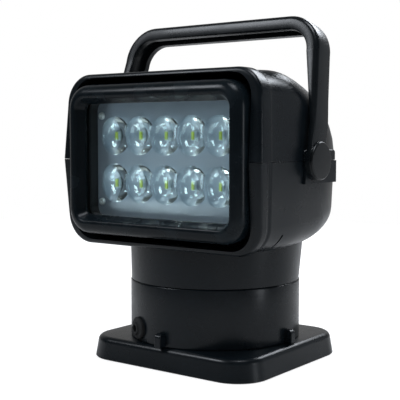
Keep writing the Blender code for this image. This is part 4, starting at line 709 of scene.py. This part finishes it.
dress([f"shell_screw_{i}" for i in range(1, 5)], STAINLESS)
dress(["control_board"], circuit_board("solder_resist"))
ZINC_STEEL = worked_metal("zinc_plated_steel", "#a3a8ad", "#8a8f96", 0.32, 0.16, 0.8 * MM, (1, 1, 4))
dress(["tilt_bracket"], ZINC_STEEL)
dress(["tilt_motor"], MOTOR_STEEL)
dress(["tilt_pinion", "pivot_bush_right", "pivot_bush_left", "sector_gear"], NYLON)
dress(["handle_bolt_right", "handle_bolt_left", "pivot_pin_right", "pivot_pin_left"], STAINLESS)

# Bezel: the lamp's satin black frame, bull-nosed outside and sloping in to a lip before
# the glass. It is moulded in polycarbonate and polished by its mould.
LAMP_HALF_WIDTH = 79 * MM
LAMP_HALF_HEIGHT = 55 * MM
LAMP_CORNER = 18 * MM
BEZEL_FRONT = -82 * MM
BEZEL_DEPTH = 16 * MM
BEZEL_ROUND = 8 * MM
WINDOW_HALF_WIDTH = 66 * MM
WINDOW_HALF_HEIGHT = 41 * MM
WINDOW_CORNER = 5 * MM
WINDOW_SLOPE = 7.5 * MM
WINDOW_LIP = 2 * MM
GLASS_LAP = 4 * MM
TOWARDS_FRONT = Matrix.Rotation(math.radians(90), 4, "X")


def front_section(half_width, half_height, corner, y):
    """A rounded rectangle standing in an XZ plane about the tilt axis's height."""
    return [(x, y, AXIS_Z + z) for x, z in rounded_rectangle(half_width, half_height, corner)]


def polished_plastic(name, colour, haze):
    """Polished polycarbonate, deep black with a soft shine, with a faint ripple from its
    mould and a haze of salt and dust that dulls it in patches."""
    material = bpy.data.materials.new(name)
    material.use_nodes = True
    tree = material.node_tree
    coords = node(tree, "TexCoord").outputs["Object"]
    clouds = node(tree, "TexNoise", {"Vector": coords, "Scale": 1 / (22 * MM), "Detail": 5.0})
    share = {"Value": clouds.outputs["Fac"], "From Min": 0.45, "From Max": 0.75}
    share = node(tree, "MapRange", share, interpolation_type="SMOOTHSTEP").outputs[0]
    tint = node(tree, "Mix", {0: share, 6: linear(colour), 7: linear(haze)}, data_type="RGBA")
    rough = node(tree, "MapRange", {"Value": share, "To Min": 0.24, "To Max": 0.34}).outputs[0]
    ripple = node(tree, "TexNoise", {"Vector": coords, "Scale": 1 / (12 * MM), "Detail": 1.0})
    bump = node(tree, "Bump", {"Height": ripple.outputs["Fac"], "Distance": 0.12 * MM, "Strength": 0.4})
    finish = {"Base Color": tint.outputs[2], "Roughness": rough, "Normal": bump.outputs[0]}
    plug(tree.nodes["Principled BSDF"], {"Specular IOR Level": 0.15, **finish})
    return material


BEZEL_GLOSS = polished_plastic("polished_polycarbonate", "#0a1014", "#10181d")
sections = [front_section(LAMP_HALF_WIDTH, LAMP_HALF_HEIGHT, LAMP_CORNER, BEZEL_FRONT + BEZEL_DEPTH)]
for run, rise in arc((0, 0), BEZEL_ROUND, 180, 270, 10):
    inset = BEZEL_ROUND + run
    size = (LAMP_HALF_WIDTH - inset, LAMP_HALF_HEIGHT - inset, LAMP_CORNER - inset)
    sections.append(front_section(*size, BEZEL_FRONT + BEZEL_ROUND + rise))
lip = WINDOW_SLOPE + WINDOW_LIP
pocket = GLASS_LAP + 0.3 * MM
brow = [(4.6, 0.3), (4.2, 0.55), (3.8, 1.0), (3.4, 1.6), (3.0, 2.4), (0.5, 6.9), (0.15, 7.3), (0.0, 7.8)]
steps = [(grow * MM, depth * MM) for grow, depth in brow]
for grow, depth in steps + [(0.0, lip), (pocket, lip), (pocket, BEZEL_DEPTH)]:
    size = (WINDOW_HALF_WIDTH + grow, WINDOW_HALF_HEIGHT + grow, WINDOW_CORNER + grow)
    sections.append(front_section(*size, BEZEL_FRONT + depth))
bm = bmesh.new()
extrude_sections(bm, sections, closed=True)
add_piece("bezel_frame", bm, "lamp", [BEZEL_GLOSS], ["bezel"], angle=50)

# Window glass and gasket: a flat tempered pane with ground edges, bedded on a black rubber
# frame behind the bezel's lip.
GLASS_FRONT = -72.2 * MM
GLASS_THICKNESS = 3 * MM
GLASS_HALF_WIDTH = 70 * MM
GLASS_HALF_HEIGHT = 45 * MM
GLASS_CORNER = 9 * MM
GASKET_FRONT = -68.9 * MM
GASKET_THICKNESS = 1.7 * MM
GASKET_WIDTH = 3 * MM


def clear_pane(name):
    """Float glass, seen mostly as what it mirrors, with a film of dust that greys it a little."""
    material = bpy.data.materials.new(name)
    material.use_nodes = True
    tree = material.node_tree
    tree.nodes.clear()
    coords = node(tree, "TexCoord").outputs["Object"]
    film = node(tree, "TexNoise", {"Vector": coords, "Scale": 1 / (18 * MM), "Detail": 5.0})
    rough = {"Value": film.outputs["Fac"], "To Min": 0.01, "To Max": 0.06}
    rough = node(tree, "MapRange", rough).outputs[0]
    through = node(tree, "BsdfTransparent", {"Color": linear("#f3f8f7")})
    mirror = node(tree, "BsdfGlossy", {"Color": (1, 1, 1, 1), "Roughness": rough})
    # its two faces together mirror twice what one does, and only the face that is met first counts
    inner = node(tree, "NewGeometry").outputs["Backfacing"]
    first = node(tree, "Math", {0: -2.0, 1: inner, 2: 2.0}, operation="MULTIPLY_ADD")
    both = {0: node(tree, "Fresnel", {"IOR": 1.45}).outputs[0], 1: first.outputs[0]}
    share = node(tree, "Math", both, operation="MULTIPLY", use_clamp=True)
    mixed = node(tree, "MixShader", {0: share.outputs[0], 1: through.outputs[0], 2: mirror.outputs[0]})
    node(tree, "OutputMaterial", {"Surface": mixed.outputs[0]})
    return material


bm = bmesh.new()
size = (GLASS_HALF_WIDTH, GLASS_HALF_HEIGHT, GLASS_CORNER)
small = [length - 0.4 * MM for length in size]
glass_back = GLASS_FRONT + GLASS_THICKNESS
extrude_sections(bm, [
    front_section(*small, GLASS_FRONT), front_section(*size, GLASS_FRONT + 0.4 * MM),
    front_section(*size, glass_back - 0.4 * MM), front_section(*small, glass_back),
])
add_piece("window_pane", bm, "lamp", [clear_pane("float_glass")], ["glass"])
bm = bmesh.new()
hole = [length - GASKET_WIDTH for length in size]
gasket_back = GASKET_FRONT + GASKET_THICKNESS
extrude_sections(bm, [
    front_section(*hole, GASKET_FRONT), front_section(*size, GASKET_FRONT),
    front_section(*size, gasket_back), front_section(*hole, gasket_back),
], closed=True)
add_piece("gasket_frame", bm, "lamp", [GLAND_RUBBER], ["glass_gasket"])

# Lamp housing: pressure-cast aluminium, a tray for the LED board with cooling fins behind
# it, powder-coated black.
CAST_BLACK = worked_metal("coated_castings", "#23282c", "#2c3236", 0.42, 0.14, 1.5 * MM, metallic=0.35)
dress(["lamp_housing"], CAST_BLACK)

# LED board: an aluminium-cored plate under satin grey lacquer, with ten emitters, each an
# upright strip of yellow phosphor on a pale ceramic foot.
BOARD_FRONT = -57.1 * MM
BOARD_THICKNESS = 1.6 * MM
BOARD_HALF_WIDTH = 69.8 * MM
BOARD_HALF_HEIGHT = 44 * MM
BOARD_CORNER = 8 * MM
EMITTER_FOOT = (2.6 * MM, 0.9 * MM, 5.4 * MM)
EMITTER_STRIP = (1.8 * MM, 0.6 * MM, 4.8 * MM)
OPTIC_PITCH_X = 23.89 * MM
OPTIC_PITCH_Z = 35.26 * MM
OPTIC_XS = [(i - 2) * OPTIC_PITCH_X for i in range(5)]
OPTIC_ZS = [AXIS_Z + OPTIC_PITCH_Z / 2, AXIS_Z - OPTIC_PITCH_Z / 2]
OPTICS = [(x, z) for z in OPTIC_ZS for x in OPTIC_XS]


def lacquered_plate(name):
    """Grey lacquer over rolled aluminium: blue-grey, satin, with the metal's fine level
    rolling marks stretching what it mirrors."""
    material = bpy.data.materials.new(name)
    material.use_nodes = True
    tree = material.node_tree
    coords = node(tree, "TexCoord").outputs["Object"]
    along = node(tree, "Mapping", {"Vector": coords, "Scale": (0.3, 1, 1)}).outputs[0]
    marks = node(tree, "TexNoise", {"Vector": along, "Scale": 1 / (0.7 * MM), "Detail": 2.0})
    clouds = node(tree, "TexNoise", {"Vector": coords, "Scale": 1 / (35 * MM), "Detail": 2.0})
    tint = {0: clouds.outputs["Fac"], 6: linear("#5b616b"), 7: linear("#6f7580")}
    tint = node(tree, "Mix", tint, data_type="RGBA").outputs[2]
    rough = {"Value": marks.outputs["Fac"], "From Min": 0.3, "From Max": 0.7, "To Min": 0.33}
    rough["To Max"] = 0.37
    rough = node(tree, "MapRange", rough).outputs[0]
    bump = node(tree, "Bump", {"Height": marks.outputs["Fac"], "Distance": 0.001 * MM, "Strength": 0.1})
    finish = {"Base Color": tint, "Roughness": rough, "Normal": bump.outputs[0]}
    plug(tree.nodes["Principled BSDF"], {"Metallic": 0.1, **finish})
    return material


def speckled_solid(name, colour, other, roughness, grain):
    """A small part of one even substance whose fine grain tints it from point to point."""
    material = bpy.data.materials.new(name)
    material.use_nodes = True
    tree = material.node_tree
    coords = node(tree, "TexCoord").outputs["Object"]
    grains = node(tree, "TexNoise", {"Vector": coords, "Scale": 1 / grain, "Detail": 2.0})
    tint = {0: grains.outputs["Fac"], 6: linear(colour), 7: linear(other)}
    tint = node(tree, "Mix", tint, data_type="RGBA").outputs[2]
    rough = {"Value": grains.outputs["Fac"], "To Min": roughness, "To Max": roughness + 0.1}
    rough = node(tree, "MapRange", rough).outputs[0]
    plug(tree.nodes["Principled BSDF"], {"Base Color": tint, "Roughness": rough})
    return material


def small_block(bm, middle, size, slot):
    """A little rounded block in one of the piece's material slots."""
    verts = bmesh.ops.create_cube(bm, size=1)["verts"]
    bmesh.ops.scale(bm, vec=size, verts=verts)
    bmesh.ops.translate(bm, vec=middle, verts=verts)
    for face in {f for v in verts for f in v.link_faces}:
        face.material_index = slot
    edges = list({e for v in verts for e in v.link_edges})
    bmesh.ops.bevel(
        bm, geom=edges, offset=0.15 * MM, offset_type="OFFSET", segments=2, profile=0.5,
        affect="EDGES", material=-1,
    )


bm = bmesh.new()
size = (BOARD_HALF_WIDTH, BOARD_HALF_HEIGHT, BOARD_CORNER)
small = [length - 0.5 * MM for length in size]
extrude_sections(bm, [
    front_section(*small, BOARD_FRONT), front_section(*size, BOARD_FRONT + 0.5 * MM),
    front_section(*size, BOARD_FRONT + BOARD_THICKNESS),
])
for x, z in OPTICS:
    small_block(bm, (x, BOARD_FRONT - 0.3 * MM, z), EMITTER_FOOT, 1)
    small_block(bm, (x, BOARD_FRONT - 0.9 * MM, z), EMITTER_STRIP, 2)
PHOSPHOR = speckled_solid("phosphor", "#8f9c22", "#7d8a18", 0.4, 0.4 * MM)
CERAMIC = speckled_solid("pale_ceramic", "#a3adb3", "#959fa6", 0.45, 0.6 * MM)
plate = add_piece(
    "led_plate", bm, "lamp", [lacquered_plate("lacquered_plate"), CERAMIC, PHOSPHOR],
    ["led_board"],
)
behind_window.objects.link(plate)

# Board screws: four pan-head steel screws in bright zinc plate at the plate's corners, each
# with a round dimple in its head. They go through the plate into the tray behind it.
BRIGHT_ZINC = worked_metal("bright_zinc_plate", "#dfe2e4", "#c4c8cb", 0.36, 0.12, 0.4 * MM, metallic=0.7)
SCREW_X = 64.5 * MM
SCREW_Z = 32.5 * MM
SCREW_HEAD_RADIUS = 2.8 * MM
SCREW_HEAD_HEIGHT = 1.9 * MM
SCREW_SHANK = 1.5 * MM
for i, (sx, sz) in enumerate(((-1, 1), (-1, -1), (1, 1), (1, -1))):
    bm = bmesh.new()
    place = Matrix.Translation((sx * SCREW_X, BOARD_FRONT, AXIS_Z + sz * SCREW_Z)) @ TOWARDS_FRONT
    head = arc((SCREW_HEAD_RADIUS - 1.2 * MM, SCREW_HEAD_HEIGHT - 1.2 * MM), 1.2 * MM, 0, 90, 5)
    spun(bm, [
        (0.0, -4 * MM), (SCREW_SHANK, -4 * MM), (SCREW_SHANK, 0.2 * MM),
        (SCREW_HEAD_RADIUS, 0.2 * MM), *head, (0.9 * MM, SCREW_HEAD_HEIGHT),
        (0.5 * MM, SCREW_HEAD_HEIGHT - 0.9 * MM), (0.0, SCREW_HEAD_HEIGHT - 0.9 * MM),
    ], 32, place)
    screw = add_piece(f"plate_screw_{i + 1}", bm, "lamp", [BRIGHT_ZINC], [f"board_screw_{i + 1}"])
    behind_window.objects.link(screw)

# Optics: ten clear acrylic lenses, moulded and polished, each a collimating cup under a
# domed face, cut flat at its sides so that the row packs tight.
OPTIC_RADIUS = 14.21 * MM
OPTIC_FOOT = 5 * MM
OPTIC_RIM = 3.6 * MM
OPTIC_DEPTH = 10 * MM
OPTIC_FLOOR = 1.5 * MM


def clear_acrylic(name):
    """Polished acrylic, water-clear. Lamps shine through it unbent, or its inside would
    stay dark, and the mould's flow lines ripple what it mirrors."""
    material = bpy.data.materials.new(name)
    material.use_nodes = True
    tree = material.node_tree
    shader = tree.nodes["Principled BSDF"]
    coords = node(tree, "TexCoord").outputs["Object"]
    flow = node(tree, "TexNoise", {"Vector": coords, "Scale": 1 / (7 * MM), "Detail": 1.0})
    bump = node(tree, "Bump", {"Height": flow.outputs["Fac"], "Distance": 0.05 * MM, "Strength": 0.25})
    rough = node(tree, "MapRange", {"Value": flow.outputs["Fac"], "To Min": 0.07, "To Max": 0.11})
    plug(shader, {"Base Color": linear("#f4f9fb"), "IOR": 1.49, "Transmission Weight": 1.0})
    plug(shader, {"Roughness": rough.outputs[0], "Normal": bump.outputs[0]})
    through = node(tree, "BsdfTransparent", {"Color": linear("#eef4f6")})
    shadow = node(tree, "LightPath").outputs["Is Shadow Ray"]
    mixed = node(tree, "MixShader", {0: shadow, 1: shader.outputs[0], 2: through.outputs[0]})
    output = next(n for n in tree.nodes if n.bl_idname == "ShaderNodeOutputMaterial")
    plug(output, {"Surface": mixed.outputs[0]})
    return material


ACRYLIC = clear_acrylic("clear_acrylic")
bulge = OPTIC_DEPTH - OPTIC_RIM - 0.8 * MM
dome_radius = (OPTIC_RADIUS ** 2 + bulge ** 2) / (2 * bulge)
spread = math.degrees(math.asin(OPTIC_RADIUS / dome_radius))
dome = arc((0, OPTIC_DEPTH - dome_radius), dome_radius, 90 - spread, 90, 14)[:-1]
optic_profile = [
    (0.0, OPTIC_FLOOR), (OPTIC_FOOT, OPTIC_FLOOR), (8.4 * MM, 2.1 * MM), (11.6 * MM, 3.0 * MM),
    (OPTIC_RADIUS - 0.3 * MM, OPTIC_RIM), (OPTIC_RADIUS, OPTIC_RIM + 0.3 * MM),
    *dome, (0.0, OPTIC_DEPTH),
]
flat_at = OPTIC_PITCH_X / 2 - 0.15 * MM
for i, (x, z) in enumerate(OPTICS):
    bm = bmesh.new()
    spun(bm, optic_profile, 72, Matrix.Translation((x, BOARD_FRONT, z)) @ TOWARDS_FRONT)
    bmesh.ops.recalc_face_normals(bm, faces=bm.faces)
    for side in (1, -1):
        geom = bm.verts[:] + bm.edges[:] + bm.faces[:]
        made = bmesh.ops.bisect_plane(
            bm, geom=geom, dist=1e-6, plane_co=(x + side * flat_at, 0, 0), plane_no=(side, 0, 0),
            clear_outer=True,
        )
        cut = [g for g in made["geom_cut"] if isinstance(g, bmesh.types.BMEdge)]
        bmesh.ops.contextual_create(bm, geom=cut)
    number = f"{i + 1:02d}"
    lens = add_piece(f"lens_{number}", bm, "lamp", [ACRYLIC], [f"optic_{number}"], 30)
    behind_window.objects.link(lens)

# Handle: a bail moulded in glass-filled nylon that leans back, stout along its bar, with
# a channel down its inner side that saves material, and thin feet with round hubs.
HANDLE_PIVOT_Y = -8 * MM
HANDLE_LEAN = math.radians(11.8)
HANDLE_HEIGHT = 104.6 * MM
HANDLE_INSET = 11 * MM
HANDLE_CORNER = 22 * MM
HANDLE_DEPTH = 21.5 * MM
BAR_THICKNESS = 10.3 * MM
LEG_THICKNESS = 9.2 * MM
LEG_FOOT_THICKNESS = 4 * MM
LEG_FOOT_HEIGHT = 25 * MM
LEG_FOOT_LEAD = 2.4 * MM
LEG_FACE = 91.9 * MM
HANDLE_SHOULDER = HANDLE_HEIGHT - BAR_THICKNESS / 2 - HANDLE_CORNER
CHANNEL_RIM = 5 * MM
CHANNEL_DEPTH = 4 * MM
GLASS_NYLON = moulded_plastic(
    "glass_filled_nylon", "#090d10", "#12191d", 0.27, 0.08, 0.8 * MM, 0.02 * MM, 0.30,
)


def handle_section(thickness):
    """The bail's section as (outward, rearward) points: round outer edges, crisp inner
    ones, and the channel between its two rims."""
    half, reach = thickness / 2, HANDLE_DEPTH / 2
    soft = min(3.6 * MM, 0.6 * thickness)
    crisp = min(1.0 * MM, 0.15 * thickness)
    dig = CHANNEL_DEPTH * min(1.0, max(0.0, (thickness - 4.2 * MM) / (4 * MM)))
    points = arc((half - soft, -reach + soft), soft, -90, 0, 6)
    points += arc((half - soft, reach - soft), soft, 0, 90, 6)
    points += arc((-half + crisp, reach - crisp), crisp, 90, 180, 3)
    rim = reach - CHANNEL_RIM
    points += [(-half, rim), (-half + dig * 0.2, rim - 0.3 * MM), (-half + dig, rim - 0.7 * MM)]
    points += [(-half + dig, -rim + 0.7 * MM), (-half + dig * 0.2, -rim + 0.3 * MM), (-half, -rim)]
    points += arc((-half + crisp, -reach + crisp), crisp, 180, 270, 3)
    return points


def handle_path():
    """(x, height, thickness, lead) along the bail's middle line, from one hub to the other."""
    path = [(LEG_FACE + LEG_FOOT_THICKNESS / 2, 0.0, LEG_FOOT_THICKNESS, LEG_FOOT_LEAD)]
    for i in range(9):
        share = i / 8
        thickness = LEG_FOOT_THICKNESS + (LEG_THICKNESS - LEG_FOOT_THICKNESS) * share
        height = LEG_FOOT_HEIGHT + (HANDLE_SHOULDER - LEG_FOOT_HEIGHT) * share
        face = LEG_FACE - HANDLE_INSET * share
        path.append((face + thickness / 2, height, thickness, LEG_FOOT_LEAD * (1 - share)))
    centre = (path[-1][0] - HANDLE_CORNER, HANDLE_SHOULDER)
    turn = arc(centre, HANDLE_CORNER, 0, 90, 12)
    for i, (x, z) in enumerate(turn[1:]):
        path.append((x, z, LEG_THICKNESS + (BAR_THICKNESS - LEG_THICKNESS) * (i + 1) / 12, 0.0))
    half = path + [(0.0, HANDLE_HEIGHT - BAR_THICKNESS / 2, BAR_THICKNESS, 0.0)]
    return half + [(-x, z, thickness, lead) for x, z, thickness, lead in path[::-1]]


path = handle_path()
handle_place = Matrix.Translation((0, HANDLE_PIVOT_Y, AXIS_Z)) @ Matrix.Rotation(-HANDLE_LEAN, 4, "X")
sections = []
for i, (x, z, thickness, lead) in enumerate(path):
    before, after = path[max(i - 1, 0)], path[min(i + 1, len(path) - 1)]
    along = Vector((after[0] - before[0], 0, after[1] - before[1])).normalized()
    outward = Vector((along.z, 0, -along.x))
    points = handle_section(thickness)
    sections.append([handle_place @ (Vector((x, b - lead, z)) + outward * a) for a, b in points])
bm = bmesh.new()
extrude_sections(bm, sections)
HUB_RADIUS = 13.5 * MM
HUB_INNER = 91.7 * MM
HUB_OUTER = 96.3 * MM
CAP_FACE = 98.1 * MM
hub_edge = arc((HUB_RADIUS - 0.8 * MM, HUB_OUTER - 0.8 * MM), 0.8 * MM, 0, 90, 4)
hub_profile = [
    (4.3 * MM, HUB_INNER), (HUB_RADIUS, HUB_INNER), *hub_edge, (7.4 * MM, HUB_OUTER),
    (7.4 * MM, HUB_INNER + 2.4 * MM), (4.3 * MM, HUB_INNER + 2.4 * MM),
]
for side in (1, -1):
    place = Matrix.Translation((0, HANDLE_PIVOT_Y, AXIS_Z)) @ Matrix.Diagonal((side, 1, 1, 1)) @ ALONG_X
    spun(bm, hub_profile, 72, place)
add_piece("bail", bm, "handle", [GLASS_NYLON], ["handle_bar"], angle=30)

# Hub caps: thin round covers that snap over the hub bolts, satin black with a soft edge.
CAP_ABS = moulded_plastic("cap_abs", "#0d1012", "#171c20", 0.32, 0.08, 0.9 * MM, 0.02 * MM, 0.32)
cap_edge = arc((HUB_RADIUS - 1.4 * MM, CAP_FACE - 1.4 * MM), 1.4 * MM, 0, 90, 6)
cap_profile = [(0.0, HUB_OUTER + 0.3 * MM), (HUB_RADIUS, HUB_OUTER + 0.3 * MM), *cap_edge, (0.0, CAP_FACE)]
for label, side in (("right", 1), ("left", -1)):
    bm = bmesh.new()
    place = Matrix.Translation((0, HANDLE_PIVOT_Y, AXIS_Z)) @ Matrix.Diagonal((side, 1, 1, 1)) @ ALONG_X
    spun(bm, cap_profile, 72, place)
    add_piece(f"cap_{label}", bm, "handle", [CAP_ABS], [f"hub_cap_{label}"])
